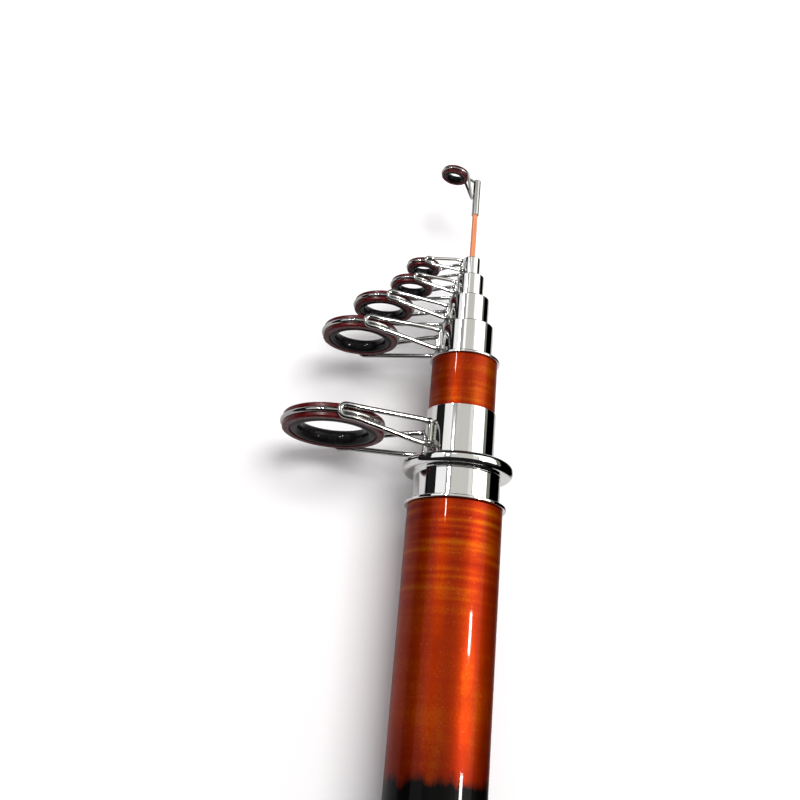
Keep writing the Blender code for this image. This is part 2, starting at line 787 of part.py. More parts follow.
hood_frame = add_joint_frame("sliding_hood_slide", sliding_hood_mouth, butt_frame)
nut_frame = add_joint_frame("lock_nut_turn", lock_nut_start, hood_frame, sliding_hood_mouth)


def add_handle_sleeve(name, thicknesses, start, length, material):
    """A turned piece glued round the butt tube, with a bore that follows the tube's taper.

    thicknesses holds (thickness, distance) points of its outer side, from the tip end to the butt end.
    """
    outline = []
    for thickness, distance in thicknesses:
        outline.append((butt_radius(start + distance) + bond_gap + thickness, distance))
    outline.append((butt_radius(start) + bond_gap, 0.0))
    outline.append((butt_radius(start + length) + bond_gap, length))
    return add_turned(name, outline, butt_sides, material, butt_frame, (0, start, 0))


def make_trim(name, start):
    thicknesses = (
        (trim_height - edge_break, trim_length),
        (trim_height, trim_length * 0.5),
        (trim_height - edge_break, 0.0),
    )
    add_handle_sleeve(name, thicknesses, start, trim_length, chrome_plate)


def make_rear_grip():
    """Foam grip with a swollen end, a waist for the hand and a rounded shoulder."""
    thicknesses = (
        (rear_grip_waist_thickness * 0.6, rear_grip_length),
        (rear_grip_waist_thickness * 1.25, rear_grip_length - grip_round),
        (rear_grip_waist_thickness, rear_grip_length * 0.5),
        (rear_grip_thickness, rear_grip_length * 0.14),
        (rear_grip_thickness, grip_round),
        (rear_grip_thickness * 0.6, 0.0),
    )
    add_handle_sleeve("rear_grip", thicknesses, rear_grip_start, rear_grip_length, grip_foam)


def make_fore_grip():
    """Shorter foam grip that narrows towards the tip."""
    thicknesses = (
        (fore_grip_front_thickness * 0.6, fore_grip_length),
        (fore_grip_front_thickness, fore_grip_length - grip_round),
        (fore_grip_thickness, fore_grip_length * 0.3),
        (fore_grip_thickness, grip_round),
        (fore_grip_thickness * 0.6, 0.0),
    )
    add_handle_sleeve("fore_grip", thicknesses, fore_grip_start, fore_grip_length, grip_foam)


def make_reel_seat():
    """Seat body: a tube with a raised bed for the reel's foot and a keyway that keeps the hood straight.

    The bed fills the space between the hoods. Lower flats run on from it under the hoods and the nut.
    """
    outline = [
        (seat_radius - edge_break, seat_length),
        (seat_radius, seat_length - edge_break),
        (seat_radius, edge_break),
        (seat_radius - edge_break, 0.0),
        (butt_radius(seat_start) + bond_gap, 0.0),
        (butt_radius(seat_end) + bond_gap, seat_length),
    ]
    seat = add_turned("reel_seat", outline, butt_sides, seat_plastic, butt_frame, (0, seat_start, 0))
    bed_start = fixed_hood_mouth + rest_gap
    bed_end = sliding_hood_mouth - rest_gap
    lower_x = seat_flat_x + foot_bed_step
    flats = (
        ("foot_bed", bed_start - edge_break, bed_end + edge_break, seat_flat_x),
        ("fixed_hood_flat", fixed_hood_mouth - foot_pocket_depth, bed_start, lower_x),
        ("sliding_hood_flat", bed_end, seat_end + seat_radius, lower_x),
    )
    for name, start, end, flat_x in flats:
        low = (-2 * seat_radius, start, -seat_radius)
        high = (flat_x, end, seat_radius)
        shape_with(seat, add_shaping_tool(name, box_mesh(name, low, high)), "DIFFERENCE")
    key_low = (seat_radius - keyway_depth, sliding_hood_mouth - hood_travel, -keyway_width / 2)
    key_high = (2 * seat_radius, seat_end + seat_radius, keyway_width / 2)
    shape_with(seat, add_shaping_tool("keyway", box_mesh("keyway", key_low, key_high)), "DIFFERENCE")


def make_hood(name, parent, parent_y, mouth, away, clearance, key=None):
    """Hood that grips one end of the reel's foot: a ring with a crown over the foot's pocket.

    The pocket is open at mouth. away is 1 if the hood lies towards the tip from there, or -1.
    key is the low and high corner of a box that its bore leaves standing.
    """
    bore = seat_radius + clearance
    wall_radius = bore + hood_wall
    start = min(mouth, mouth + away * hood_length)
    outline = [
        (0.0, hood_length),
        (wall_radius - edge_break, hood_length),
        (wall_radius, hood_length - edge_break),
        (wall_radius, edge_break),
        (wall_radius - edge_break, 0.0),
        (0.0, 0.0),
    ]
    hood = add_turned(
        name, outline, butt_sides, seat_plastic, parent, (0, start - parent_y, 0), closed=False
    )

    crown = bpy.data.meshes.new(name + "_crown")
    shape = bmesh.new()
    bmesh.ops.create_uvsphere(shape, u_segments=20, v_segments=10, radius=1.0)
    for vert in shape.verts:
        vert.co.x = vert.co.x * (foot_pocket_height + hood_crown_wall) + seat_flat_x
        vert.co.y = vert.co.y * hood_length
        vert.co.z = vert.co.z * (foot_pocket_width / 2 + hood_crown_side_wall)
    whole = shape.verts[:] + shape.edges[:] + shape.faces[:]
    middle = (0, away * hood_crown_setback, 0)
    bmesh.ops.bisect_plane(shape, geom=whole, plane_co=middle, plane_no=(0, away, 0), clear_inner=True)
    bmesh.ops.holes_fill(shape, edges=shape.edges[:])
    bmesh.ops.recalc_face_normals(shape, faces=shape.faces[:])
    shape.to_mesh(crown)
    shape.free()
    shape_with(hood, add_shaping_tool(name + "_crown", crown, (0, mouth, 0)), "UNION")

    reach = 2 * hood_length
    bore_outline = [(0.0, reach), (bore, reach), (bore, -reach), (0.0, -reach)]
    bore_tool = add_turned_tool(name + "_bore", bore_outline, butt_sides, (0, start, 0))
    if key:
        shape_with(bore_tool, add_shaping_tool(name + "_key", box_mesh(name + "_key", *key)), "DIFFERENCE")
    shape_with(hood, bore_tool, "DIFFERENCE")

    past_mouth = mouth - away * hood_length
    pocket_end = mouth + away * foot_pocket_depth
    pocket_low = (seat_flat_x - foot_pocket_height, min(pocket_end, past_mouth), -foot_pocket_width / 2)
    pocket_high = (0.0, max(pocket_end, past_mouth), foot_pocket_width / 2)
    pocket = add_shaping_tool(name + "_pocket", box_mesh(name + "_pocket", pocket_low, pocket_high))
    shape_with(hood, pocket, "DIFFERENCE")


def make_sliding_hood():
    """The hood that the lock nut pushes along the seat. A key inside its bore runs in the keyway."""
    key_inner = seat_radius - keyway_depth + sliding_clearance
    key_half = keyway_width / 2 - sliding_clearance
    key_low = (key_inner, sliding_hood_mouth + edge_break * 2, -key_half)
    key_high = (moving_bore + hood_wall / 2, sliding_hood_mouth + hood_length - edge_break * 2, key_half)
    key = (key_low, key_high)
    place = sliding_hood_mouth
    make_hood("sliding_hood", hood_frame, place, place, 1, sliding_clearance, key)


def make_lock_nut():
    """Fluted nut on the seat's thread that pushes the sliding hood on to the reel's foot."""
    radius = moving_bore + lock_nut_wall
    mesh = fluted_mesh("lock_nut", radius, lock_nut_flute_depth, lock_nut_flute_count, lock_nut_length)
    nut = add_piece("lock_nut", mesh, seat_plastic, nut_frame, (0, 0, 0), along_rod)
    reach = 2 * lock_nut_length
    bore_outline = [(0.0, reach), (moving_bore, reach), (moving_bore, -reach), (0.0, -reach)]
    bore = add_turned_tool("lock_nut_bore", bore_outline, butt_sides, (0, 0, 0), nut_frame)
    shape_with(nut, bore, "DIFFERENCE")


def make_butt_end():
    """Threaded insert, washer, screw plug with its rubber pad, and the cushion for the sections."""
    insert_radius = butt_radius(butt_start) - butt_wall - bond_gap
    deep_bore = section_radius(section_2, section_2["length"]) + jam_clearance
    closing = (butt_radius(butt_start) - butt_wall - deep_bore) / (butt_length - section_2["overlap"])
    insert_end_radius = insert_radius - closing * insert_length
    insert_bore = insert_radius - insert_wall
    spigot_radius = insert_bore - thread_clearance
    outline = [
        (insert_end_radius, insert_length),
        (insert_radius, 0.0),
        (insert_bore, 0.0),
        (insert_bore, insert_length),
    ]
    add_turned("thread_insert", outline, butt_sides, thread_alloy, butt_frame, (0, butt_start, 0))

    washer_radius = butt_radius(butt_start) + washer_step
    outline = [
        (washer_radius, washer_thickness),
        (washer_radius, 0.0),
        (insert_bore, 0.0),
        (insert_bore, washer_thickness),
    ]
    add_turned("plug_washer", outline, butt_sides, pad_rubber, washer_frame, (0, 0, 0))

    flange_radius = butt_radius(butt_start) + plug_flange_step
    mesh = fluted_mesh("end_plug", flange_radius, plug_flute_depth, plug_flute_count, plug_flange_thickness)
    plug = add_piece("end_plug", mesh, plug_plastic, plug_frame, (0, 0, 0), along_rod)
    spigot_top = plug_flange_thickness + plug_spigot_length
    outline = [
        (0.0, spigot_top),
        (spigot_radius, spigot_top),
        (spigot_radius, plug_flange_thickness / 2),
        (0.0, plug_flange_thickness / 2),
    ]
    shape_with(plug, add_turned_tool("plug_spigot", outline, butt_sides, (0, 0, 0), plug_frame), "UNION")

    pad_radius = flange_radius - pad_inset
    outline = [
        (0.0, pad_thickness),
        (pad_radius, pad_thickness),
        (pad_radius, edge_break * 2),
        (pad_radius - edge_break * 2, 0.0),
        (0.0, 0.0),
    ]
    add_turned("butt_pad", outline, butt_sides, pad_rubber, plug_frame, (0, -plug_start, 0), closed=False)

    cushion_radius = spigot_radius - cushion_inset
    outline = [
        (0.0, cushion_thickness),
        (cushion_radius, cushion_thickness),
        (cushion_radius, 0.0),
        (0.0, 0.0),
    ]
    place = (0, cushion_start - plug_start, 0)
    add_turned("plug_cushion", outline, butt_sides, pad_rubber, plug_frame, place, closed=False)


def build_rod():
    make_butt_end()
    make_butt_tube()
    make_butt_collar()
    make_rear_grip()
    make_trim("rear_trim", rear_trim_start)
    make_reel_seat()
    make_hood("fixed_hood", butt_frame, 0.0, fixed_hood_mouth, -1, bond_gap)
    make_sliding_hood()
    make_lock_nut()
    make_trim("seat_trim", seat_trim_start)
    make_fore_grip()
    make_trim("fore_trim", fore_trim_start)

    make_section_tube("section_2_tube", section_2, section_2_frame, section_3)
    make_section_tube("section_3_tube", section_3, section_3_frame, section_4)
    make_section_tube("section_4_tube", section_4, section_4_frame, section_5)
    make_section_tube("section_5_tube", section_5, section_5_frame, section_6)
    make_section_tube("section_6_tube", section_6, section_6_frame, tip_section)
    make_tip_rod()

    make_end_ring()
    make_guide_sleeve()
    make_guide(1, guide_1, sleeve_radius, sleeve_start - section_2["base"], sleeve_length, section_2_frame)
    carried = (
        (2, guide_2, 3, cup_3, section_3, section_3_frame),
        (3, guide_3, 4, cup_4, section_4, section_4_frame),
        (4, guide_4, 5, cup_5, section_5, section_5_frame),
        (5, guide_5, 6, cup_6, section_6, section_6_frame),
    )
    for number, guide, section_number, cup, section, frame in carried:
        make_cup("section_%d_cup" % section_number, cup, section, frame)
        make_guide(number, guide, cup["radius"], cup["start"] - section["base"], cup["height"], frame)
    make_tip_top()


build_rod()
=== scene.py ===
# %% [markdown]
# # A telescopic spinning rod, pushed together
# The rod is a butt tube with six thinner sections inside it. Each section ends in a chrome piece
# that carries a line guide, and the guides nest over each other when the rod is pushed together.
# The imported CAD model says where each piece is. This lesson gives each of those pieces a smoother
# mesh and a finish made of nodes.

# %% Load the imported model
import json
import math

import bmesh
import bpy
from mathutils import Matrix, Vector


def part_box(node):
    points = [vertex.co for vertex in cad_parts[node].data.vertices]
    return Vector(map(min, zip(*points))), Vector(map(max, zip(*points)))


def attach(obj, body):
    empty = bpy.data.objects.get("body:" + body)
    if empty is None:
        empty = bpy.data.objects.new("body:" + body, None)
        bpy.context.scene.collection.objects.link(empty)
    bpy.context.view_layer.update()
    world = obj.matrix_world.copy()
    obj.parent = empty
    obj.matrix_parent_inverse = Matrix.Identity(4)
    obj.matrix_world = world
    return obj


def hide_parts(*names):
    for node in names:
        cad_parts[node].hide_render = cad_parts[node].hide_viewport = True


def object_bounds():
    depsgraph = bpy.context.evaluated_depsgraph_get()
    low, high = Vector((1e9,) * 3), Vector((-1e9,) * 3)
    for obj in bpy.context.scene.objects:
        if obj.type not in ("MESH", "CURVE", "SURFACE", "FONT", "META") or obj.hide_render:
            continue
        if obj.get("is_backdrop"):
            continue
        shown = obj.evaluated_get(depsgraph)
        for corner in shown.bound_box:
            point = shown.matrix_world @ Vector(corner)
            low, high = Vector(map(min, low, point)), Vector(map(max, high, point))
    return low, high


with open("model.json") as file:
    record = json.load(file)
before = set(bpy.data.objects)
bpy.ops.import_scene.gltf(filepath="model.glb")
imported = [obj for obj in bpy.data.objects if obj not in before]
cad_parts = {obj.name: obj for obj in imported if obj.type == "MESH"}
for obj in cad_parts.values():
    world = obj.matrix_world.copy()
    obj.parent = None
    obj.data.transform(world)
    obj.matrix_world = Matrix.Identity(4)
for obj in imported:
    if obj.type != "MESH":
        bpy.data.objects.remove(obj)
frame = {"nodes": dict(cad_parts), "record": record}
cad_low, cad_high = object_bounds()
mm = 0.001
body_of_node = {}
for body_name, members in frame["record"]["behaviour"]["bodies"].items():
    body_of_node.update(dict.fromkeys(members, body_name))
slot_of_node = {part["node"]: part["material_slot"] for part in frame["record"]["subparts"]}

# %% [markdown]
# ## The camera
# The photograph looks down on the rod's tip end from above the butt, a little to the guides' side.
# The place and the turn below were worked out from the collars, whose real sizes the CAD model has.

# %% Camera
camera_place = (-36.905 * mm, 438.76 * mm, 262.593 * mm)
camera_turns = {"X": 19.6406, "Y": -4.2292, "Z": 6.6320}


def link(name, data):
    thing = bpy.data.objects.new(name, data)
    bpy.context.scene.collection.objects.link(thing)
    return thing


camera_data = bpy.data.cameras.new("photo_camera")
camera_data.lens = 48.39
camera_data.sensor_width = 36.0
camera_data.clip_start = 0.01
camera = link("photo_camera", camera_data)
camera_turn = Matrix()
for axis, degrees in camera_turns.items():
    camera_turn = camera_turn @ Matrix.Rotation(math.radians(degrees), 4, axis)
camera.matrix_world = Matrix.Translation(camera_place) @ camera_turn
bpy.context.scene.camera = camera
bpy.context.scene.view_settings.view_transform = "Standard"
print("camera", [round(number, 3) for number in camera_place])

# %% [markdown]
# ## Building with nodes
# Every finish and most shapes here are trees of nodes. A few small functions add a node to the tree
# that its inputs come from and hand back its output, so that a tree is written like a sum.


# %% Node helpers
def set_inputs(node, values):
    """Gives a node's inputs their numbers and colours, or links other nodes' outputs to them."""
    for label, value in values.items():
        socket = node.inputs[label]
        if isinstance(value, bpy.types.NodeSocket):
            node.id_data.links.new(value, socket)
        elif socket.type == "RGBA":
            socket.default_value = (*value, 1.0)
        else:
            socket.default_value = value


def add_node(kind, values):
    links = [value for value in values.values() if isinstance(value, bpy.types.NodeSocket)]
    node = links[0].id_data.nodes.new(kind)
    set_inputs(node, values)
    return node


def math_node(operation, first, second=0.0):
    node = add_node("ShaderNodeMath", {0: first, 1: second})
    node.operation = operation
    return node.outputs[0]


def remap(value, low, high, to_low=0.0, to_high=1.0):
    values = {0: value, 1: low, 2: high, 3: to_low, 4: to_high}
    return add_node("ShaderNodeMapRange", values).outputs[0]


def object_point(node):
    return node.id_data.nodes.new("ShaderNodeTexCoord").outputs["Object"]


def coordinates(point):
    return add_node("ShaderNodeSeparateXYZ", {0: point}).outputs


def mix_shaders(ray, others, chosen):
    """Shows one shader to the named kind of ray, and the other shader to all other rays."""
    is_ray = chosen.id_data.nodes.new("ShaderNodeLightPath").outputs[ray]
    values = {0: is_ray, 1: others.outputs[0], 2: chosen.outputs[0]}
    return add_node("ShaderNodeMixShader", values)


def new_material(name):
    """A material and its Principled shader."""
    material = bpy.data.materials.new(name)
    material.use_nodes = True
    print("material", name)
    return material, material.node_tree.nodes["Principled BSDF"]


# %% [markdown]
# ## The table
# The rod lies on a white table. The camera sees plain white, which glows a little far away so that
# the table has no edge. Polished chrome shows what stands round it, and in the photograph that is a
# pale patch of table near the rod with darkness past it. Black cards beside the rod could do the
# same, but they would show from other sides, so the Light Path node gives each ray its own table.

# %% Table
table_half = 6.0
table_z = cad_low[2] - 0.05 * mm
patch_edges = (("X", -0.28, -0.16), ("X", 0.032, 0.024), ("Y", 0.30, 0.38), ("Y", 0.80, 0.70))
patch_shade = 0.6
glow_from, glow_to, full_glow = 0.7, 2.4, 0.5

corners = [(x * table_half, y * table_half, table_z) for x, y in ((-1, -1), (1, -1), (1, 1), (-1, 1))]
table_mesh = bpy.data.meshes.new("table")
table_mesh.from_pydata(corners, [], [(0, 1, 2, 3)])
table = link("table", table_mesh)
table_material, shader = new_material("white_table")
point = object_point(shader)
patch = patch_shade
for axis, dark_at, pale_at in patch_edges:
    edge = remap(coordinates(point)[axis], dark_at, pale_at)
    patch = math_node("MULTIPLY", edge, patch)
reflected = add_node("ShaderNodeBsdfDiffuse", {"Color": patch})
distance = add_node("ShaderNodeVectorMath", {0: point})
distance.operation = "LENGTH"
set_inputs(shader, {
    "Base Color": (0.95, 0.95, 0.96), "Roughness": 0.55, "Emission Color": (1.0, 0.98, 0.98),
    "Emission Strength": remap(distance.outputs["Value"], glow_from, glow_to, 0.0, full_glow),
})
surface = mix_shaders("Is Camera Ray", reflected, shader)
set_inputs(table_material.node_tree.nodes["Material Output"], {"Surface": surface.outputs[0]})
table.data.materials.append(table_material)
table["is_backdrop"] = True
print("table at z", round(table_z / mm, 2), "mm")

# %% [markdown]
# ## The light
# The chrome in the photograph tells what stood round the rod: a wide pale ceiling, a long bright
# window on each side, darkness under them, and thin lamps that draw sharp white lines on the lacquer.
# An image of a room could light the rod, but long area lights can be set one by one. They show in
# gloss only. One soft key light does the opposite: it lights the surfaces and casts the shadows.

# %% Lights
# Each has a name, its start and end across the rod and along it, its radiance and its colour. Angles
# are in degrees, as seen from the rod's mouth: across from straight up to +X, and along towards +Y.
white = (1, 1, 1)
lights = (
    ("key", -4, 33, 2, 30, 8.8, (1.0, 0.985, 0.975)),
    ("ceiling", -22, 33, -12, 44, 0.6, (1.0, 0.985, 0.93)),
    ("left_window", -64, -37, -12, 44, 0.94, white),
    ("left_window_edge", -37, -22, -12, 44, 0.36, white),
    ("right_window", 34, 76, -12, 44, 1.9, (1.0, 0.97, 0.9)),
    ("right_window_edge", 22, 33, -12, 44, 0.2, white),
    ("left_wedge", -22, -12, 20.5, 44, 0.6, white),
    ("right_wedge", 26, 33, 20.5, 44, 0.6, white),
    ("right_wall", 77, 88, -12, 44, 0.2, (0.9, 1.0, 0.85)),
    ("left_lamp", -30.7, -27.9, 12.8, 17, 165, white),
    ("left_lamp_far", -40.6, -37.8, 22.5, 28, 165, white),
    ("right_lamp", 43.8, 50.4, 3.9, 6.6, 190, white),
    ("right_lamp_near", 43.8, 50.4, -8, -3.4, 190, white),
)
light_distance = 1.0
light_middle = Vector((0.0, 0.52, 0.0))

for name, start, end, low, high, radiance, colour in lights:
    data = bpy.data.lights.new(name, "AREA")
    data.shape = "RECTANGLE"
    data.size = 2.0 * light_distance * math.tan(math.radians(end - start) / 2)
    near = light_distance * math.tan(math.radians(low))
    far = light_distance * math.tan(math.radians(high))
    data.size_y = far - near
    data.energy = radiance * math.pi * data.size * data.size_y
    data.color = colour
    side = math.radians(start + end) / 2
    outward = Vector((math.sin(side), 0.0, math.cos(side))) * light_distance
    middle = light_middle + outward + Vector((0.0, (near + far) / 2, 0.0))
    light = link(name, data)
    light.matrix_world = Matrix.Translation(middle) @ Matrix.Rotation(side, 4, "Y")
    light.visible_camera = False
    light.visible_diffuse = name == "key"
    light.visible_glossy = name != "key"
print("lights", len(lights))

# %% World
# The camera sees white past the table, gloss sees nearly black, and the rest is a plain fill light.
world = bpy.data.worlds.new("studio")
bpy.context.scene.world = world
world.use_nodes = True
tree = world.node_tree
seen = tree.nodes["Background"]
set_inputs(seen, {"Color": (0.95, 0.95, 0.96), "Strength": 1.0})
fill = tree.nodes.new("ShaderNodeBackground")
set_inputs(fill, {"Color": (1.0, 0.97, 0.98), "Strength": 0.48})
gloss = tree.nodes.new("ShaderNodeBackground")
set_inputs(gloss, {"Color": (0.012, 0.012, 0.013), "Strength": 1.0})
unseen = mix_shaders("Is Glossy Ray", fill, gloss)
surface = mix_shaders("Is Camera Ray", unseen, seen)
set_inputs(tree.nodes["World Output"], {"Surface": surface.outputs[0]})
print("world", world.name)

# %% [markdown]
# ## Effects that several finishes share
# Smudges, lathe lines and pores show on many pieces. Each is a shader node group, so it is built
# once, and every material sets its own values.


# %% Group helpers
def new_group(tree_type, name, inputs, outputs):
    """A node group with its inputs and outputs, which are numbers unless another kind is given."""
    tree = bpy.data.node_groups.new(name, tree_type)
    print("group", name)
    for way, sockets in (("INPUT", inputs), ("OUTPUT", outputs)):
        for socket in sockets:
            label, kind = socket if isinstance(socket, tuple) else (socket, "Float")
            tree.interface.new_socket(label, in_out=way, socket_type="NodeSocket" + kind)
    return tree.nodes.new("NodeGroupInput").outputs, tree.nodes.new("NodeGroupOutput")


def noise_node(point, scale, detail=2.0, roughness=0.5):
    values = {"Vector": point, "Scale": scale, "Detail": detail, "Roughness": roughness}
    return add_node("ShaderNodeTexNoise", values).outputs["Fac"]


def stretched(point, scale):
    return add_node("ShaderNodeMapping", {"Vector": point, "Scale": scale}).outputs[0]


# %% Handling marks
# Fingers and cloths leave soft smudges and hair-thin scratches on anything polished.
outputs = ("Roughness", "Height")
start, end = new_group("ShaderNodeTree", "handling_marks", ("Size", "Low", "High"), outputs)
point = object_point(end)
cloud = remap(noise_node(point, start["Size"], 4.0), 0.38, 0.66)
spread = math_node("SUBTRACT", start["High"], start["Low"])
smudged = math_node("MULTIPLY", cloud, spread)
hairs = noise_node(stretched(point, (5200.0, 300.0, 5200.0)), 1.0, 1.0)
set_inputs(end, {
    "Roughness": math_node("ADD", start["Low"], smudged),
    "Height": remap(hairs, 0.62, 0.7),
})

# %% Turning lines
# A lathe leaves fine lines round a piece, so they follow the distance along the rod.
start, end = new_group("ShaderNodeTree", "turning_lines", ("Lines per metre",), ("Height",))
along = coordinates(object_point(end))["Y"]
along = math_node("MULTIPLY", along, start["Lines per metre"])
lines = end.id_data.nodes.new("ShaderNodeTexNoise")
lines.noise_dimensions = "1D"
set_inputs(lines, {"W": along, "Scale": 1.0, "Detail": 2.0})
set_inputs(end, {"Height": lines.outputs["Fac"]})

# %% Pores
# Closed-cell foam and rubber have small dimples between raised skins.
outputs = ("Height", "Shade")
start, end = new_group("ShaderNodeTree", "pores", ("Cells per metre",), outputs)
point = object_point(end)
values = {"Vector": point, "Scale": start["Cells per metre"]}
cells = add_node("ShaderNodeTexVoronoi", values).outputs["Distance"]
raised = math_node("MULTIPLY", remap(cells, 0.05, 0.45), noise_node(point, 4200.0))
set_inputs(end, {"Height": raised, "Shade": noise_node(point, 60.0, 3.0)})

# %% [markdown]
# ## Finishes
# Every finish has its colour, its gloss and its small relief from nodes in Object coordinates,
# which are metres here, so a pattern keeps its real size on every piece.


# %% Finish helpers
def use_group(shader, name, **values):
    node = shader.id_data.nodes.new("ShaderNodeGroup")
    node.node_tree = bpy.data.node_groups[name]
    set_inputs(node, {label.replace("_", " "): value for label, value in values.items()})
    return node.outputs


def handled(shader, size, low, high):
    """Puts handling marks into the shader's roughness, from low to high."""
    marks = use_group(shader, "handling_marks", Size=size, Low=low, High=high)
    set_inputs(shader, {"Roughness": marks["Roughness"]})
    return marks


def add_bump(shader, height, distance, strength):
    values = {"Height": height, "Distance": distance, "Strength": strength}
    bump = add_node("ShaderNodeBump", values)
    set_inputs(shader, {"Normal": bump.outputs[0]})


def ramp_node(mask, stops):
    """A colour ramp through (position, colour) stops."""
    node = add_node("ShaderNodeValToRGB", {"Fac": mask})
    elements = node.color_ramp.elements
    for element, (position, colour) in zip(elements[:], (stops[0], stops[-1])):
        element.position = position
        element.color = (*colour, 1.0)
    for position, colour in stops[1:-1]:
        elements.new(position).color = (*colour, 1.0)
    return node.outputs["Color"]


def two_tones(shader, mask, dark, light):
    """A base colour that goes from dark to light over the middle of the mask."""
    set_inputs(shader, {"Base Color": ramp_node(mask, [(0.3, dark), (0.7, light)])})


def mix_colour(factor, first, second):
    """Mixes two colours. Of the node's sockets, inputs 6 and 7 and output 2 are the colours."""
    node = factor.id_data.nodes.new("ShaderNodeMix")
    node.data_type = "RGBA"
    set_inputs(node, {0: factor, 6: first, 7: second})
    return node.outputs[2]


# %% [markdown]
# ### Orange lacquer
# The tubes are glass fibre under clear orange lacquer. The glass cloth under it is wound round the
# tube, which shows as soft bands and small flecks, and the lacquer has a hard, mirror-like surface.
# Real layers of glass would be slow to render. A half metallic base glows along the tube as the
# fibres do, and a thin clear coat over it gives the sharp lines of light.

# %% Orange lacquer
black_paint_top = 440.3 * mm
ragged_edge = 9 * mm
mist_height = 12 * mm
paint_blur = 1.2 * mm
faint_ripples_below = 474 * mm
full_ripples_above = 496 * mm


def black_paint(point, colour, top):
    """Black paint below a height, with a ragged edge and a dark mist just over it."""
    ragged = noise_node(stretched(point, (240.0, 90.0, 240.0)), 1.0, 4.0)
    ragged = math_node("MULTIPLY", math_node("SUBTRACT", ragged, 0.5), ragged_edge)
    height = math_node("ADD", coordinates(point)["Y"], ragged)
    mist = remap(height, top, top + mist_height, 0.55, 0.0)
    colour = mix_colour(mist, colour, (0.1, 0.002, 0.001))
    painted = remap(height, top - paint_blur, top + paint_blur, 1.0, 0.0)
    return mix_colour(painted, colour, (0.003, 0.003, 0.003))


def lacquer(name, black_top=None):
    """Orange lacquer. Where black_top is given, it is the butt's, painted black below that height."""
    material, shader = new_material(name)
    point = object_point(shader)
    strength = 0.5
    if black_top:
        along = coordinates(point)["Y"]
        strength = remap(along, faint_ripples_below, full_ripples_above, 0.12, 1.0)
    ripples = noise_node(stretched(point, (30.0, 620.0, 30.0)), 1.0, 1.5)
    ripples = math_node("MULTIPLY", math_node("SUBTRACT", ripples, 0.5), strength)
    clouds = noise_node(stretched(point, (120.0, 45.0, 120.0)), 1.0, 3.0)
    grain = noise_node(point, 2300.0, 2.0, 0.6)
    shade = 0.31
    for layer, share in ((ripples, 0.6), (clouds, 0.22), (grain, 0.15)):
        shade = math_node("ADD", math_node("MULTIPLY", layer, share), shade)
    colour = ramp_node(shade, [
        (0.3, (0.15, 0.0009, 0.0001)), (0.5, (0.26, 0.019, 0.0002)), (0.72, (0.41, 0.115, 0.0006)),
    ])
    flecks = remap(noise_node(point, 900.0, 3.0, 0.7), 0.64, 0.74, 0.0, 0.4)
    colour = mix_colour(flecks, colour, (0.5, 0.13, 0.07))
    if black_top:
        colour = black_paint(point, colour, black_top)
    set_inputs(shader, {
        "Base Color": colour, "Metallic": 0.75, "Specular IOR Level": 0.0,
        "Coat Weight": 0.18, "Coat Roughness": 0.03, "Coat IOR": 1.45,
    })
    handled(shader, 90.0, 0.44, 0.52)
    add_bump(shader, ripples, 0.03 * mm, 0.5)
    return material


butt_lacquer = lacquer("butt_lacquer", black_paint_top)
section_lacquer = lacquer("section_lacquer")

# %% [markdown]
# ### Bare glass tip
# The solid tip is not painted. Its glass fibres run along it and the resin is a pale orange. Noise
# that is stretched along the rod draws the fibres, and some light goes under the surface.

# %% Bare glass tip
tip_glass, shader = new_material("tip_glass")
fibres = noise_node(stretched(object_point(shader), (9000.0, 120.0, 9000.0)), 1.0)
two_tones(shader, fibres, (0.62, 0.16, 0.05), (0.82, 0.31, 0.13))
set_inputs(shader, {
    "Roughness": 0.32, "Subsurface Weight": 0.15, "Subsurface Scale": 0.5 * mm,
})
add_bump(shader, fibres, 0.02 * mm, 0.4)

# %% [markdown]
# ### Chrome
# The collars and cups are turned from brass and plated, so faint lathe lines lie under a mirror
# surface with a few smudges. The wire is drawn, and its plating is a little softer and darker. Its
# greys are also set lower than the wire's own, as painted shade for the shadows and dark
# reflections between the guides.


# %% Chrome
def chrome(name, dark, light, low, high, lines, depth):
    """Metal between two greys, with a roughness from low to high and lathe lines of some depth."""
    material, shader = new_material(name)
    tint = noise_node(object_point(shader), 45.0)
    two_tones(shader, tint, (dark, dark, dark * 0.97), (light, light, light))
    set_inputs(shader, {"Metallic": 1.0})
    handled(shader, 140.0, low, high)
    turning = use_group(shader, "turning_lines", Lines_per_metre=lines)
    add_bump(shader, turning["Height"], depth, 0.3)
    return material


plated = chrome("plated_chrome", 0.83, 0.9, 0.02, 0.07, 9000.0, 0.004 * mm)
# The wire's greys are partly its own and partly painted shade, darker for the shadows and dark
# reflections between the guides.
drawn = chrome("drawn_wire_chrome_with_painted_shade", 0.42, 0.54, 0.05, 0.12, 12000.0, 0.003 * mm)
alloy = chrome("thread_alloy", 0.7, 0.8, 0.22, 0.35, 2200.0, 0.05 * mm)

# %% [markdown]
# ### Guide rings
# The shock ring is a moulded dark red plastic, and the ceramic inside it is polished like glass.
# Both are nearly black in the photograph, so most of what shows is their gloss, which is kept low.

# %% Guide rings
shock_red, shader = new_material("shock_red")
point = object_point(shader)
mottle = noise_node(point, 700.0, 3.0)
two_tones(shader, mottle, (0.055, 0.0006, 0.002), (0.11, 0.001, 0.003))
set_inputs(shader, {"Specular IOR Level": 0.25})
handled(shader, 400.0, 0.22, 0.36)
add_bump(shader, noise_node(point, 5000.0), 0.01 * mm, 0.3)

ceramic_black, shader = new_material("ceramic_black")
mottle = noise_node(object_point(shader), 900.0)
two_tones(shader, mottle, (0.004, 0.004, 0.005), (0.012, 0.011, 0.012))
set_inputs(shader, {"Specular IOR Level": 0.11})
marks = handled(shader, 300.0, 0.03, 0.1)
add_bump(shader, marks["Height"], 0.002 * mm, 0.2)

# %% [markdown]
# ### Foam, plastic and rubber
# The handle is out of the photograph. It gets the finishes that such rods have: black foam grips,
# a black moulded reel seat and a rubber pad on the end. Foam and rubber are one function with pores
# of different sizes, and the plastics are another with a fine moulded grain.


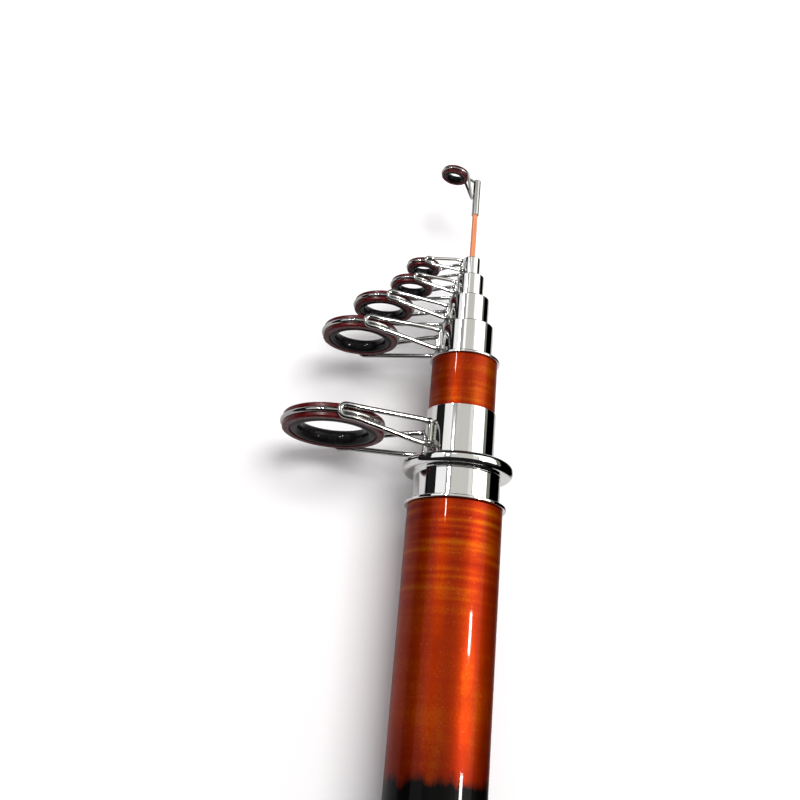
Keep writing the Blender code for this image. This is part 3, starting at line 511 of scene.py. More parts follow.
# %% Foam and rubber
def porous(name, cells, dark, light, rough, depth):
    material, shader = new_material(name)
    pores = use_group(shader, "pores", Cells_per_metre=cells)
    two_tones(shader, pores["Shade"], dark, light)
    set_inputs(shader, {"Roughness": rough, "Sheen Weight": 0.15, "Specular IOR Level": 0.3})
    add_bump(shader, pores["Height"], depth, 0.7)
    return material


foam = porous("black_foam", 1100.0, (0.012, 0.012, 0.013), (0.022, 0.022, 0.023), 0.85, 0.12 * mm)
rubber = porous("black_rubber", 2600.0, (0.014, 0.014, 0.014), (0.02, 0.02, 0.02), 0.65, 0.04 * mm)


# %% Moulded plastic
def moulded(name, dark, light, low, high):
    material, shader = new_material(name)
    point = object_point(shader)
    two_tones(shader, noise_node(point, 80.0, 3.0), dark, light)
    handled(shader, 110.0, low, high)
    add_bump(shader, noise_node(point, 3500.0), 0.03 * mm, 0.35)
    return material


seat_plastic = moulded("seat_plastic", (0.01, 0.01, 0.011), (0.018, 0.018, 0.02), 0.22, 0.4)
plug_plastic = moulded("plug_plastic", (0.016, 0.016, 0.017), (0.026, 0.026, 0.028), 0.35, 0.5)
finish_of_slot = {
    "orange_fibre": section_lacquer, "tip_fibre": tip_glass, "chrome_plate": plated,
    "chrome_wire": drawn, "red_shock_ring": shock_red, "black_ceramic": ceramic_black,
    "grip_foam": foam, "seat_plastic": seat_plastic, "plug_plastic": plug_plastic,
    "pad_rubber": rubber, "thread_alloy": alloy,
}
print("finishes", len(finish_of_slot) + 1)

# %% [markdown]
# ## Turned pieces
# Nearly everything on the rod is turned: half of its outline, swept round the rod's axis. The Spin
# tool could make each piece, but one Geometry Nodes tree does it for all of them. The outline is the
# object's own mesh, the tree sweeps it round a small circle, and the sweep ends where it began, so
# there is no seam.


# %% Helpers for Geometry Nodes
def new_tree(name, *inputs):
    """A tree that takes a mesh, the named inputs and a material, and gives a mesh."""
    mesh = ("Geometry", "Geometry")
    inputs = (mesh, *inputs, ("Material", "Material"))
    return new_group("GeometryNodeTree", name, inputs, [mesh])


def finish_tree(start, end, geometry):
    """Every tree ends by making its instances real and giving the result its material."""
    real = add_node("GeometryNodeRealizeInstances", {0: geometry})
    values = {"Geometry": real.outputs[0], "Material": start["Material"]}
    painted = add_node("GeometryNodeSetMaterial", values)
    set_inputs(end, {0: painted.outputs[0]})


def plain_mesh(things):
    """What the first object's modifiers make of it, with faces outwards. The objects are removed."""
    graph = bpy.context.evaluated_depsgraph_get()
    mesh = bpy.data.meshes.new_from_object(things[0].evaluated_get(graph))
    for thing in things:
        bpy.data.objects.remove(thing)
    shape = bmesh.new()
    shape.from_mesh(mesh)
    bmesh.ops.remove_doubles(shape, verts=shape.verts, dist=0.0005 * mm)
    bmesh.ops.recalc_face_normals(shape, faces=shape.faces)
    shape.to_mesh(mesh)
    shape.free()
    return mesh


def run_tree(mesh, tree_name, **values):
    source = link("source", mesh)
    modifier = source.modifiers.new("nodes", "NODES")
    modifier.node_group = bpy.data.node_groups[tree_name]
    for item in modifier.node_group.interface.items_tree:
        if item.in_out == "INPUT" and item.name in values:
            modifier[item.identifier] = values[item.name]
    return plain_mesh([source])


def line_mesh(points, closed=False):
    mesh = bpy.data.meshes.new("line")
    edges = [(index, index + 1) for index in range(len(points) - 1)]
    if closed:
        edges.append((len(points) - 1, 0))
    mesh.from_pydata(points, edges, [])
    return mesh


# %% The sweep
sweep_core = 1.0 * mm
start, end = new_tree("turned_piece", ("Sides", "Int"))
outline = add_node("GeometryNodeMeshToCurve", {0: start["Geometry"]})
values = {"Resolution": start["Sides"], "Radius": sweep_core}
circle = add_node("GeometryNodeCurvePrimitiveCircle", values)
values = {"Curve": circle.outputs[0], "Profile Curve": outline.outputs[0]}
sweep = add_node("GeometryNodeCurveToMesh", values)
values = {0: sweep.outputs[0], "Rotation": (-math.pi / 2, 0.0, 0.0)}
along_rod = add_node("GeometryNodeTransform", values)
finish_tree(start, end, along_rod.outputs[0])

# %% Outlines
support = 0.1 * mm


def rounded(corners, steps):
    """Rounds an outline's corners. A corner is (radius, y) or (radius, y, rounding).

    A point close to each end of a rounding keeps the long straight sides flat when they are shaded.
    """
    points = []
    for index, (radius, y, *rounding) in enumerate(corners):
        here = Vector((radius, y))
        if not rounding:
            points.append(here)
            continue
        rounding = rounding[0]
        to_before = Vector(corners[index - 1][:2]) - here
        to_after = Vector(corners[(index + 1) % len(corners)][:2]) - here
        before = to_before.normalized()
        after = to_after.normalized()
        half = before.angle(after) / 2
        reach = rounding / math.tan(half)
        middle = here + (before + after).normalized() * (rounding / math.sin(half))
        first = here + before * reach - middle
        last = here + after * reach - middle
        if to_before.length > reach + 4 * support:
            points.append(middle + first + before * support)
        for step in range(steps + 1):
            share = step / steps
            points.append(middle + (first * (1 - share) + last * share).normalized() * rounding)
        if to_after.length > reach + 4 * support:
            points.append(middle + last + after * support)
    return points


def turned(corners, sides=96, closed=True, finish=None, steps=4):
    """A turned mesh from an outline's corners, in the rod's own place."""
    points = [(point.x - sweep_core, -point.y, 0.0) for point in rounded(corners, steps)]
    return run_tree(line_mesh(points, closed), "turned_piece", Sides=sides, Material=finish)


# %% Placing a piece
made_pieces = {}


def place(node, mesh, finish=None, sharp=35.0):
    """Makes a piece from a mesh, lets it ride on the node's body and stand for the node."""
    mesh.name = node + "_piece"
    mesh.shade_smooth()
    mesh.set_sharp_from_angle(angle=math.radians(sharp))
    slot_name = slot_of_node[node]
    mesh.materials.clear()
    mesh.materials.append(finish or finish_of_slot[slot_name])
    piece = link(node + "_piece", mesh)
    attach(piece, body_of_node[node])
    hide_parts(node)
    made_pieces[node] = piece
    print(piece.name, len(mesh.polygons), "faces")


def span(node):
    """Where a node starts and ends along the rod."""
    low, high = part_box(node)
    return low[1], high[1]


def widest(node):
    low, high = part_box(node)
    return (high[0] - low[0]) / 2


# %% [markdown]
# ## The butt tube and its sections
# Each tube tapers from its lower end to its mouth. Its bore narrows near the mouth to fit the next
# section's lower end, which is what holds the rod when it is pulled out. Cones with a Solidify
# modifier would miss that, so both sides are drawn. The sizes are the CAD model's, and the places
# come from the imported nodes.

# %% Tube sizes
# Mouth radius in mm, taper, wall in mm, overlap with the tube round it in mm, and node.
jam = 0.06 * mm
bond = 0.1 * mm
section_sizes = {
    2: (8.6, 0.0025, 1.0, 80.0, "section_2_tube"),
    3: (6.15, 0.0015, 0.8, 75.0, "section_3_tube"),
    4: (4.6, 0.0015, 0.7, 70.0, "section_4_tube"),
    5: (3.0, 0.0011, 0.6, 65.0, "section_5_tube"),
    6: (1.75, 0.0009, 0.45, 60.0, "section_6_tube"),
    7: (0.705, 0.0013, 0.0, 55.0, "tip_rod"),
}
tip_number = 7


def section_radius(number, back_from_mouth):
    return section_sizes[number][0] * mm + section_sizes[number][1] * back_from_mouth


def bore_points(mouth_y, inner):
    """The two points of a bore that matches the section inside it."""
    overlap = section_sizes[inner][3] * mm
    low, high = span(section_sizes[inner][4])
    deep = section_radius(inner, high - low) + jam
    narrow = section_radius(inner, high - low - overlap) + jam
    return [(deep, mouth_y - overlap), (narrow, mouth_y)]


# %% Sections
for number in range(2, tip_number):
    mouth, taper, wall, overlap, node = section_sizes[number]
    low, high = span(node)
    base = section_radius(number, high - low)
    corners = [(mouth * mm, high), (base, low), (base - wall * mm, low)]
    place(node, turned(corners + bore_points(high, number + 1)))

low, high = span("tip_rod")
tip_end = section_radius(tip_number, 0.0)
tip_base = section_radius(tip_number, high - low)
corners = [(0.0, high), (tip_end, high), (tip_base, low), (0.0, low)]
place("tip_rod", turned(corners, 32, closed=False))

# %% Butt tube
butt_low, butt_high = span("butt_tube")
collar_low, collar_high = span("butt_collar")
butt_mouth = 12.05 * mm
butt_taper = 0.00325
butt_wall = 1.5 * mm
turned_end = butt_mouth - 1.55 * mm
butt_base = butt_mouth + butt_taper * (collar_low - butt_low)
shoulder = collar_low - bond
corners = [
    (turned_end, butt_high), (turned_end, shoulder), (butt_mouth, shoulder, 0.15 * mm),
    (butt_base, butt_low), (butt_base - butt_wall, butt_low), *bore_points(butt_high, 2),
]
place("butt_tube", turned(corners, 128), butt_lacquer)

# %% [markdown]
# ## Chrome on the mouths
# The butt's collar has a thin flange below and a thick rolled rim above. Section 2 has a sleeve for
# its guide and a thin end ring, and each thinner section has a cup with a lip over the tube's end.
# A Bevel modifier would round every edge alike, so each corner of an outline has its own rounding.

# %% Collar
barrel = turned_end + bond + 0.55 * mm
barrel_low = collar_low + 1.0 * mm
flange = butt_mouth + 0.85 * mm
flange_high = collar_low + 0.85 * mm
rim = butt_mouth + 2.1 * mm
rim_low = collar_high - 3.2 * mm
rim_rounding = 1.35 * mm
lip = bore_points(butt_high, 2)[1][0] + bond
corners = [
    (lip, collar_high, 0.15 * mm), (rim, collar_high, rim_rounding), (rim, rim_low, rim_rounding),
    (barrel, rim_low, 0.25 * mm), (barrel, barrel_low, 0.3 * mm), (flange, flange_high, 0.3 * mm),
    (flange, collar_low, 0.25 * mm), (turned_end + bond, collar_low),
    (turned_end + bond, butt_high + bond), (lip, butt_high + bond),
]
place("butt_collar", turned(corners, 128, steps=6))

# %% End ring, sleeve and cups
low, high = span("section_2_end_ring")
edge = widest("section_2_end_ring")
bore = bore_points(span("section_2_tube")[1], 3)[1][0] + bond
corners = [(bore, high), (edge, high, 0.3 * mm), (edge, low, 0.2 * mm), (bore, low)]
place("section_2_end_ring", turned(corners))

low, high = span("guide_1_sleeve")
edge = widest("guide_1_sleeve")
inner = edge - 0.23 * mm
corners = [(inner, high), (edge, high, 0.12 * mm), (edge, low, 0.12 * mm), (inner, low)]
place("guide_1_sleeve", turned(corners))

cup_walls = {3: 0.77 * mm, 4: 0.75 * mm, 5: 0.56 * mm, 6: 0.46 * mm}
for number, wall in cup_walls.items():
    node = "section_%d_cup" % number
    low, high = span(node)
    edge = widest(node)
    inner = edge - wall
    lip_low = high - 0.4 * mm
    lip = bore_points(lip_low - bond, number + 1)[1][0] + bond
    corners = [(lip, high, 0.1 * mm), (edge, high, 0.25 * mm), (edge, low, 0.12 * mm)]
    corners += [(inner, low), (inner, lip_low), (lip, lip_low)]
    place(node, turned(corners))

# %% [markdown]
# ## The guides
# A guide is a ceramic ring pressed into a dark red shock ring, which a wire hoop holds by its groove.
# Two hairpin legs hang over the hoop, hug it, and come down to the chrome sleeve or cup. The front
# arm's end turns back along the sleeve to the rear arm's, and solder covers where they meet.

# %% Guide sizes
# In mm: the ring's reach from the rod's axis, the shock ring's radius and wall, the ceramic's wall and
# thickness, the wire's radius, and how far the feet stand in from the ends of the piece that carries
# them. In degrees: where the feet stand round that piece, and how far the rear arm's end wraps it.
guides = {
    1: dict(
        reach=32.7, shock=13.14, shock_wall=1.84, wall=2.7, thick=3.9, wire=0.7,
        rear=6.85, front=4.5, angle=31.0, sweep=8.0, carrier="guide_1_sleeve",
    ),
    2: dict(
        reach=28.2, shock=9.83, shock_wall=1.63, wall=1.9, thick=3.2, wire=0.6,
        rear=1.4, front=2.6, angle=18.0, sweep=8.0, carrier="section_3_cup",
    ),
    3: dict(
        reach=22.8, shock=7.8, shock_wall=1.4, wall=1.4, thick=2.8, wire=0.52,
        rear=1.0, front=3.2, angle=18.0, sweep=10.0, carrier="section_4_cup",
    ),
    4: dict(
        reach=15.8, shock=5.55, shock_wall=1.15, wall=0.9, thick=2.4, wire=0.45,
        rear=0.8, front=2.5, angle=20.0, sweep=12.0, carrier="section_5_cup",
    ),
    5: dict(
        reach=13.1, shock=4.4, shock_wall=1.05, wall=0.9, thick=2.2, wire=0.4,
        rear=0.9, front=1.4, angle=24.0, sweep=14.0, carrier="section_6_cup",
    ),
}
tip_guide = dict(reach=6.4, shock=3.7, shock_wall=0.95, wall=0.9, thick=2.0, wire=0.38)

# %% [markdown]
# ### Rings
# Both rings are turned on the rod's axis like the tubes, and then moved to their places. The ceramic's
# throat is half of an ellipse, so that line runs over no edge, and the shock ring has a groove for
# the hoop. A torus would have neither.

# %% Rings
throat_share = 0.6
throat_steps = 16


def ceramic_corners(guide):
    """A straight outer side and a throat that is half of an ellipse."""
    half = guide["thick"] / 2 * mm
    outer = (guide["shock"] - guide["shock_wall"]) * mm - bond
    throat = guide["wall"] * throat_share * mm
    crest = outer - guide["wall"] * (1 - throat_share) * mm
    corners = [(outer, -half * 0.86, 0.12 * half), (outer, half * 0.86, 0.12 * half)]
    for step in range(throat_steps + 1):
        turn = math.pi * step / throat_steps
        corners.append((crest - throat * math.sin(turn), half * 1.05 * math.cos(turn)))
    return corners


def shock_corners(guide):
    """A ring with rounded edges and a groove round its outer side."""
    half = guide["thick"] / 2 * mm
    outer = guide["shock"] * mm
    inner = outer - guide["shock_wall"] * mm
    groove = guide["wire"] * mm + bond
    floor = outer - bond - groove
    floor_half = groove * 0.55
    edge = half * 0.24
    return [
        (inner, half, 0.1 * half), (outer, half, edge), (outer, groove), (floor, floor_half),
        (floor, -floor_half), (outer, -groove), (outer, -half, edge), (inner, -half, 0.1 * half),
    ]


def ring_place(label, lean=0.0):
    """The ring's middle and its lean towards the rod's butt, as a matrix."""
    low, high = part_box(label + "_ceramic")
    return Matrix.Translation((low + high) / 2) @ Matrix.Rotation(-lean, 4, "Z")


def make_rings(label, guide, where):
    for part, corners in (("shock_ring", shock_corners(guide)), ("ceramic", ceramic_corners(guide))):
        node = "%s_%s" % (label, part)
        mesh = turned(corners, 80)
        mesh.transform(where)
        place(node, mesh)

# %% [markdown]
# ### Wire and solder
# Bevelled curves could be the wire, but each hoop, leg and brace is wanted as a closed mesh. So one
# tree bends wire along the object's own mesh, and another puts a ball of solder on every point it is
# given, each a little different in size. The wires and the solder of a guide then become one skin.

# %% Wire
start, end = new_tree("bent_wire", "Radius")
path = add_node("GeometryNodeMeshToCurve", {0: start["Geometry"]})
values = {"Resolution": 14, "Radius": start["Radius"]}
wire_circle = add_node("GeometryNodeCurvePrimitiveCircle", values)
values = {"Curve": path.outputs[0], "Profile Curve": wire_circle.outputs[0], "Fill Caps": True}
bent = add_node("GeometryNodeCurveToMesh", values)
finish_tree(start, end, bent.outputs[0])


def wire(points, radius, closed=False):
    return run_tree(line_mesh(points, closed), "bent_wire", Radius=radius, Material=drawn)


# %% Solder
# Of the random number's sockets, inputs 2 and 3 and output 1 are plain numbers.
start, end = new_tree("solder", "Radius")
values = {"Segments": 16, "Rings": 10, "Radius": start["Radius"]}
ball = add_node("GeometryNodeMeshUVSphere", values)
size = end.id_data.nodes.new("FunctionNodeRandomValue")
size.data_type = "FLOAT"
set_inputs(size, {2: 0.9, 3: 1.0, "Seed": 7})
values = {"Points": start["Geometry"], "Instance": ball.outputs["Mesh"], "Scale": size.outputs[1]}
balls = add_node("GeometryNodeInstanceOnPoints", values)
finish_tree(start, end, balls.outputs[0])


# %% Paths and skins
def smooth_path(points, rounding):
    """Rounds the corners of a path in space, except at its two ends and where it hardly turns."""
    result = [Vector(points[0])]
    for before, here, after in zip(points, points[1:], points[2:]):
        here = Vector(here)
        to_before = Vector(before) - here
        to_after = Vector(after) - here
        reach = min(rounding, to_before.length * 0.45, to_after.length * 0.45)
        if to_before.angle(-to_after) < math.radians(4.0):
            result.append(here)
            continue
        first = here + to_before.normalized() * reach
        last = here + to_after.normalized() * reach
        for step in range(6):
            share = step / 5
            result.append(first * (1 - share) ** 2 + here * 2 * share * (1 - share) + last * share ** 2)
    result.append(Vector(points[-1]))
    return result


def combined(meshes, operation):
    """Joins closed meshes into one skin, or cuts the others out of the first."""
    things = [link("source", mesh) for mesh in meshes]
    for other in things[1:]:
        modifier = things[0].modifiers.new("combine", "BOOLEAN")
        modifier.operation = operation
        modifier.solver = "MANIFOLD"
        modifier.object = other
    return plain_mesh(things)


# %% [markdown]
# ### Legs
# A leg's shape follows from its guide: it leaves the hoop where a straight line to the foot touches
# it. So a leg is worked out and not drawn, and one function makes all ten. Its lengths are in radii
# of its own wire, because thicker wire is bent in wider curves.

# %% Leg sizes
hairpin_lean = math.radians(10.0)
hairpin_pitch = 2.2
arm_spread = 4.7
foot_corner = 1.6
front_foot_end = 0.9
leg_rounding = 1.6
solder_size = 1.45
hug_steps = 8
bend_steps = 12


# %% Legs
def leg_path(guide, carrier_radius, rear_foot, front_foot, side):
    """The middle of one leg's wire, from the rear foot over the hoop to the front foot."""
    radius = guide["wire"] * mm
    reach = guide["reach"] * mm
    corner = foot_corner * radius
    ring_line = guide["shock"] * mm + radius + bond
    foot_line = carrier_radius + radius + bond
    half_pitch = hairpin_pitch * radius
    foot_angle = math.radians(guide["angle"])

    def on_ring(angle, y):
        return Vector((ring_line * math.sin(angle) - reach, y, ring_line * math.cos(angle)))

    def on_foot(angle, y):
        return Vector((-foot_line * math.cos(angle), y, foot_line * math.sin(angle)))

    foot = on_foot(foot_angle, 0.0)
    across = foot.x + reach
    leave = math.atan2(across, foot.z) - math.acos(ring_line / math.hypot(across, foot.z))
    hug = [hairpin_lean + (leave - hairpin_lean) * step / hug_steps for step in range(1, hug_steps + 1)]
    heading = (foot - on_ring(leave, 0.0)).normalized()

    def arm(foot_y, toward):
        points = [on_ring(angle, toward * half_pitch) for angle in hug]
        for distance in (arm_spread * radius, corner):
            near = foot - heading * distance
            points.append(Vector((near.x, foot_y, near.z)))
        return points

    turned_angle = foot_angle + corner / foot_line
    rear = arm(rear_foot, -1)
    rear.append(on_foot(turned_angle, rear_foot))
    rear.append(on_foot(turned_angle + math.radians(guide["sweep"]), rear_foot))
    front = arm(front_foot, 1)
    front_end = rear_foot + radius * front_foot_end
    for y in (front_foot - corner * 0.5, front_foot - corner * 1.5, front_end):
        front.append(on_foot(foot_angle, y))
    bend = []
    for step in range(bend_steps + 1):
        turn = math.pi * (step / bend_steps - 0.5)
        lean = hairpin_lean - half_pitch * math.cos(turn) / ring_line
        bend.append(on_ring(lean, half_pitch * math.sin(turn)))
    path = smooth_path(rear[::-1] + bend + front, radius * leg_rounding)
    return [Vector((point.x, point.y, side * point.z)) for point in path]


def hoop_path(guide, where, steps=96):
    radius = guide["shock"] * mm - bond
    points = []
    for step in range(steps):
        angle = math.tau * step / steps
        points.append(where @ Vector((radius * math.cos(angle), 0.0, radius * math.sin(angle))))
    return points


# %% Frames
def make_frame(label, guide):
    """The hoop, its two legs and four lumps of solder, as one skin."""
    carrier_low, carrier_high = span(guide["carrier"])
    carrier_radius = widest(guide["carrier"])
    where = ring_place(label)
    ring_y = where.translation.y
    rear_foot = carrier_low + guide["rear"] * mm - ring_y
    front_foot = carrier_high - guide["front"] * mm - ring_y
    radius = guide["wire"] * mm
    lump = radius * solder_size
    lump_line = carrier_radius + bond + lump
    foot_angle = math.radians(guide["angle"])
    meshes = [wire(hoop_path(guide, where), radius, True)]
    for side in (1, -1):
        leg = leg_path(guide, carrier_radius, rear_foot, front_foot, side)
        meshes.append(wire([point + Vector((0.0, ring_y, 0.0)) for point in leg], radius))
        x = -lump_line * math.cos(foot_angle)
        z = side * lump_line * math.sin(foot_angle)
        feet = line_mesh([(x, ring_y + rear_foot, z), (x, ring_y + front_foot, z)])
        meshes.append(run_tree(feet, "solder", Radius=lump, Material=drawn))
    place(label + "_frame", combined(meshes, "UNION"), sharp=50.0)


for number, guide in guides.items():
    label = "guide_%d" % number
    make_rings(label, guide, ring_place(label))
    make_frame(label, guide)

# %% [markdown]
# ### The tip guide
# It is soldered to a small capped tube on the tip's end. Its ring leans back a little, two braces
# run from the tube to the hoop, and a short link joins the hoop to the cap. The tube is turned and
# the rest is wire, joined into one skin like the other frames.

# %% Tip guide
tip_lean = math.radians(8.0)
low, high = span("tip_rod")
frame_low = span("tip_top_frame")[0]
cap_low = high + bond
cap_top = cap_low + 1.8 * mm
tip_bore = section_radius(tip_number, cap_top - frame_low) + bond
tip_tube = tip_bore + 0.18 * mm
corners = [
    (0.0, cap_top), (tip_tube * 0.7, cap_top, 0.15 * mm),
    (tip_tube, cap_top - tip_tube * 0.3, 0.15 * mm), (tip_tube, frame_low, 0.05 * mm),
    (tip_bore, frame_low), (tip_bore, cap_low), (0.0, cap_low),
]
meshes = [turned(corners, 40, closed=False, finish=drawn)]
where = ring_place("tip_top", tip_lean)
radius = tip_guide["wire"] * mm
meshes.append(wire(hoop_path(tip_guide, where, 64), radius, True))


def beside_hoop(distance):
    """A point of the hoop's plane, at a distance from its middle towards the rod's axis."""
    x = distance * math.cos(tip_lean) - tip_guide["reach"] * mm
    return x, where.translation.y - distance * math.sin(tip_lean)


brace_line = tip_guide["shock"] * mm + radius + bond * 0.5
brace_angle = math.radians(38.0)
brace_low = cap_top - 5.8 * mm
brace_x, brace_y = beside_hoop(brace_line * math.cos(brace_angle))
for side in (1, -1):
    points = [
        (-tip_tube - radius * 0.6, brace_low, side * radius * 0.8),
        (-tip_tube - radius * 1.8, brace_low + radius * 3, side * radius * 1.4),
        (brace_x, brace_y + radius * 0.6, side * brace_line * math.sin(brace_angle)),
    ]
    meshes.append(wire(smooth_path(points, radius * 2), radius))
link_end = (*beside_hoop(tip_guide["shock"] * mm - bond + radius * 0.7), 0.0)
meshes.append(wire([(-tip_tube * 0.13, cap_top - 0.9 * mm, 0.0), link_end], radius))
place("tip_top_frame", combined(meshes, "UNION"), sharp=50.0)
make_rings("tip_top", tip_guide, where)

# %% [markdown]
# ## The handle
# The grips and trims are turned, each with its bore on the butt's taper. Their outlines are given as
# thicknesses over the butt, so that a grip keeps its swell wherever it sits.


# %% Grips and trims
def over_butt(y):
    return butt_mouth + butt_taper * (collar_low - y) + bond


def handle_sleeve(node, outline):
    """A turned piece on the butt tube, from (thickness, share of length, rounding), tip end first."""
    low, high = span(node)
    corners = []
    for thickness, share, rounding in outline:
        y = low + share * (high - low)
        corners.append((over_butt(y) + thickness * mm, y, rounding * mm))
    corners += [(over_butt(low), low), (over_butt(high), high)]
    place(node, turned(corners, 128, steps=6))


handle_sleeve("rear_grip", (
    (1.02, 1.0, 0.8), (2.12, 0.977, 1.6), (1.7, 0.5, 200.0), (2.8, 0.14, 60.0),
    (2.8, 0.023, 1.8), (1.68, 0.0, 0.8),
))
handle_sleeve("fore_grip", (
    (1.02, 1.0, 0.8), (1.7, 0.948, 1.6), (3.0, 0.3, 60.0), (3.0, 0.052, 1.8), (1.8, 0.0, 0.8),
))
for node in ("rear_trim", "seat_trim", "fore_trim"):
    handle_sleeve(node, ((0.7, 1.0, 0.1), (1.2, 0.5, 2.2), (0.7, 0.0, 0.1)))


# %% Butt end
def simple_ring(node, outer_low, outer_high, inner):
    """A ring, or a disc where inner is 0."""
    low, high = span(node)
    corners = [(inner, high), (outer_high, high, 0.2 * mm), (outer_low, low, 0.2 * mm), (inner, low)]
    place(node, turned(corners, closed=inner > 0.0))


insert_outer = widest("thread_insert")
insert_bore = butt_base - butt_wall - bond - 1.6 * mm
washer = butt_base + 1.0 * mm
cushion = widest("plug_cushion")
simple_ring("thread_insert", insert_outer, insert_outer - 0.07 * mm, insert_bore)
simple_ring("plug_washer", washer, washer, insert_bore)
simple_ring("plug_cushion", cushion, cushion, 0.0)
low, high = span("butt_pad")
pad = widest("butt_pad")
corners = [(0.0, high), (pad, high, 0.2 * mm), (pad, low, 1.0 * mm), (0.0, low)]
place("butt_pad", turned(corners, closed=False, steps=6))

# %% [markdown]
# ### The reel seat
# The seat is a sleeve with a flat bed for the reel's foot, lower ground past each end of the bed, and
# a long keyway that stops the sliding hood from turning. It starts as a turned piece, and boxes are
# cut out of it, because that is how the real one gets its flats.

# %% Reel seat
seat_low, seat_high = span("reel_seat")
seat_radius = over_butt(seat_low) + 2.1 * mm
fixed_mouth = span("fixed_hood")[1]
sliding_mouth = span("sliding_hood")[0]
flat_x = 1.0 * mm - seat_radius
lower_x = flat_x + 0.3 * mm
bed_low = fixed_mouth + 0.3 * mm
bed_high = sliding_mouth - 0.3 * mm
pocket_length = 14.0 * mm
keyway_half = 1.6 * mm
past = 0.03


def box_tool(low, high):
    mesh = bpy.data.meshes.new("box")
    shape = bmesh.new()
    bmesh.ops.create_cube(shape, size=1.0)
    for vert in shape.verts:
        vert.co = [low[axis] if vert.co[axis] < 0 else high[axis] for axis in range(3)]
    shape.to_mesh(mesh)
    shape.free()
    return mesh


corners = [
    (seat_radius, seat_high, 0.5 * mm), (seat_radius, seat_low, 0.5 * mm),
    (over_butt(seat_low), seat_low), (over_butt(seat_high), seat_high),
]
seat = turned(corners, 128)
keyway_low = (seat_radius - 0.9 * mm, sliding_mouth - 24.0 * mm, -keyway_half)
tools = [
    box_tool((-past, bed_low - 0.2 * mm, -past), (flat_x, bed_high + 0.2 * mm, past)),
    box_tool((-past, fixed_mouth - pocket_length, -past), (lower_x, bed_low, past)),
    box_tool((-past, bed_high, -past), (lower_x, seat_high + past, past)),
    box_tool(keyway_low, (past, seat_high + past, keyway_half)),
]
place("reel_seat", combined([seat, *tools], "DIFFERENCE"), sharp=25.0)

# %% [markdown]
# ### Hoods
# Each hood is a ring round the seat, with a swollen crown over the pocket that takes one end of the
# reel's foot. The crown is half of a stretched ball, joined to the ring before the bore and the
# pocket are cut, so that both cuts go through it cleanly.

# %% Hoods
hood_wall = 1.7 * mm
crown_rise = 7.6 * mm
crown_half_width = 14.5 * mm
pocket_depth = 4.9 * mm
pocket_half_width = 7.8 * mm
key_half = 1.3 * mm
bore_past = 0.06


def make_crown(length, mouth, away):
    """The half of a stretched ball that lies away from the hood's mouth."""
    mesh = bpy.data.meshes.new("crown")
    shape = bmesh.new()
    bmesh.ops.create_uvsphere(shape, u_segments=64, v_segments=48, radius=1.0)
    for vert in shape.verts:
        vert.co.x = vert.co.x * crown_rise + flat_x
        vert.co.y = vert.co.y * length
        vert.co.z = vert.co.z * crown_half_width
    whole = shape.verts[:] + shape.edges[:] + shape.faces[:]
    cut_at = (0.0, away * 0.3 * mm, 0.0)
    bmesh.ops.bisect_plane(shape, geom=whole, plane_co=cut_at, plane_no=(0, away, 0), clear_inner=True)
    bmesh.ops.holes_fill(shape, edges=shape.edges[:])
    bmesh.ops.recalc_face_normals(shape, faces=shape.faces[:])
    shape.to_mesh(mesh)
    shape.free()
    mesh.transform(Matrix.Translation((0.0, mouth, 0.0)))
    return mesh


def make_hood(node, mouth, away, clearance, key):
    low, high = span(node)
    bore = seat_radius + clearance
    outer = bore + hood_wall
    corners = [(0.0, high), (outer, high, 0.6 * mm), (outer, low, 0.6 * mm), (0.0, low)]
    ring = turned(corners, 128, closed=False)
    hood = combined([ring, make_crown(high - low, mouth, away)], "UNION")
    ends = (low - bore_past, high + bore_past)
    corners = [(0.0, ends[1]), (bore, ends[1]), (bore, ends[0]), (0.0, ends[0])]
    bore_tool = turned(corners, 128, closed=False)
    if key:
        ridge_low = (seat_radius - 0.6 * mm, low + 1.0 * mm, -key_half)
        ridge = box_tool(ridge_low, (past, high - 1.0 * mm, key_half))
        bore_tool = combined([bore_tool, ridge], "DIFFERENCE")
    ends = sorted((mouth - away * past, mouth + away * pocket_length))
    pocket_low = (flat_x - pocket_depth, ends[0], -pocket_half_width)
    pocket = box_tool(pocket_low, (0.0, ends[1], pocket_half_width))
    place(node, combined([hood, bore_tool, pocket], "DIFFERENCE"), sharp=25.0)


make_hood("fixed_hood", fixed_mouth, -1, bond, False)
make_hood("sliding_hood", sliding_mouth, 1, 0.3 * mm, True)

# %% [markdown]
# ### Flutes
# The nut and the plug are gripped by shallow flutes. Cutting each one with a cylinder would leave
# sharp crests, so a tree moves the points of a turned piece inwards by a rule: the depth follows a
# wave round the rod, and only near the outer side.

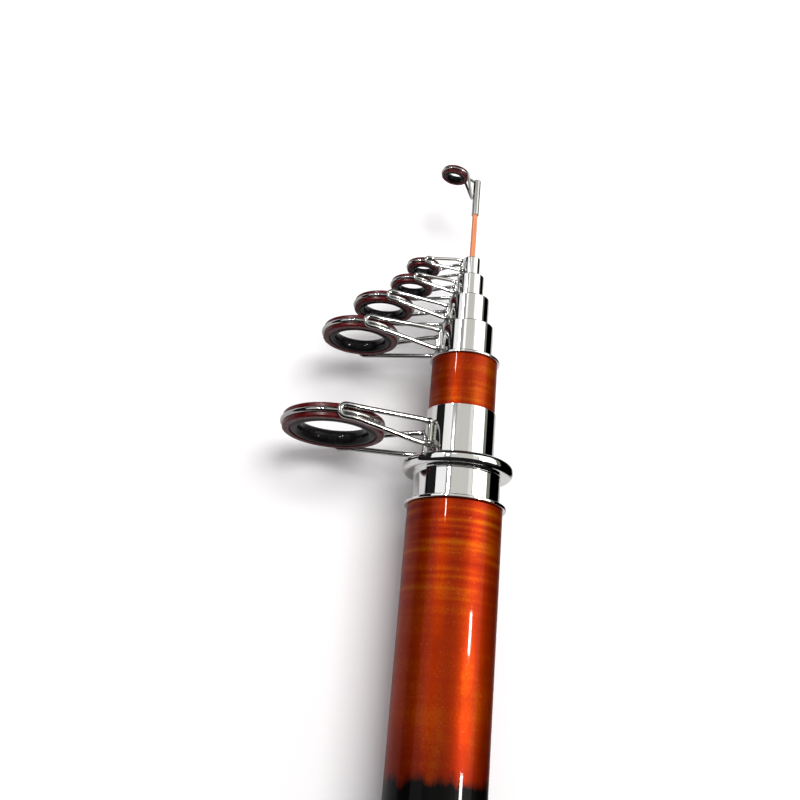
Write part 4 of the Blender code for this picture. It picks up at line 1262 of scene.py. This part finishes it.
# %% Flute tree
start, end = new_tree("fluted_edge", "Count", "Depth", "Inner", "Outer")
x, y, z = coordinates(end.id_data.nodes.new("GeometryNodeInputPosition").outputs[0])
squares = [math_node("MULTIPLY", side, side) for side in (x, z)]
distance = math_node("SQRT", math_node("ADD", *squares))
turns = math_node("MULTIPLY", math_node("ARCTAN2", z, x), start["Count"])
wave = math_node("SUBTRACT", 1.0, math_node("COSINE", turns))
wave = math_node("MULTIPLY", wave, 0.5)
near_edge = remap(distance, start["Inner"], start["Outer"])
depth = math_node("MULTIPLY", math_node("MULTIPLY", wave, near_edge), start["Depth"])
share = math_node("DIVIDE", depth, math_node("MAXIMUM", distance, 0.0001))
keep = math_node("SUBTRACT", 1.0, share)
values = {"X": math_node("MULTIPLY", x, keep), "Y": y, "Z": math_node("MULTIPLY", z, keep)}
moved = add_node("ShaderNodeCombineXYZ", values)
values = {"Geometry": start["Geometry"], "Position": moved.outputs[0]}
fluted_shape = add_node("GeometryNodeSetPosition", values)
finish_tree(start, end, fluted_shape.outputs[0])


# %% Nut and plug
def fluted(node, corners, count, depth, inner, outer, closed):
    """A turned piece with flutes, which start at the inner radius and are full at the outer one."""
    values = {"Count": float(count), "Depth": depth, "Inner": inner, "Outer": outer}
    values["Material"] = finish_of_slot[slot_of_node[node]]
    place(node, run_tree(turned(corners, count * 10, closed), "fluted_edge", **values), sharp=40.0)


low, high = span("lock_nut")
bore = seat_radius + 0.3 * mm
outer = bore + 2.7 * mm
corners = [(bore, high, 0.3 * mm), (outer, high, 0.6 * mm), (outer, low, 0.6 * mm), (bore, low, 0.3 * mm)]
fluted("lock_nut", corners, 16, 0.7 * mm, bore + 1.2 * mm, outer - 0.5 * mm, True)

low, high = span("end_plug")
flange = butt_base + 2.4 * mm
flange_high = low + 9.6 * mm
spigot = insert_bore - 0.3 * mm
corners = [
    (0.0, high), (spigot, high, 0.4 * mm), (spigot, flange_high), (flange, flange_high, 0.6 * mm),
    (flange, low, 0.6 * mm), (0.0, low),
]
fluted("end_plug", corners, 20, 0.5 * mm, flange - 1.2 * mm, flange - 0.5 * mm, False)
print("pieces made", len(made_pieces))

# %% [markdown]
# ## Last step
# The nodes that got no piece are printed, and the model's box is measured once more.

# %% Finish
missing = sorted(set(frame["nodes"]) - set(made_pieces))
print("nodes without a piece:", missing)
low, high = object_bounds()
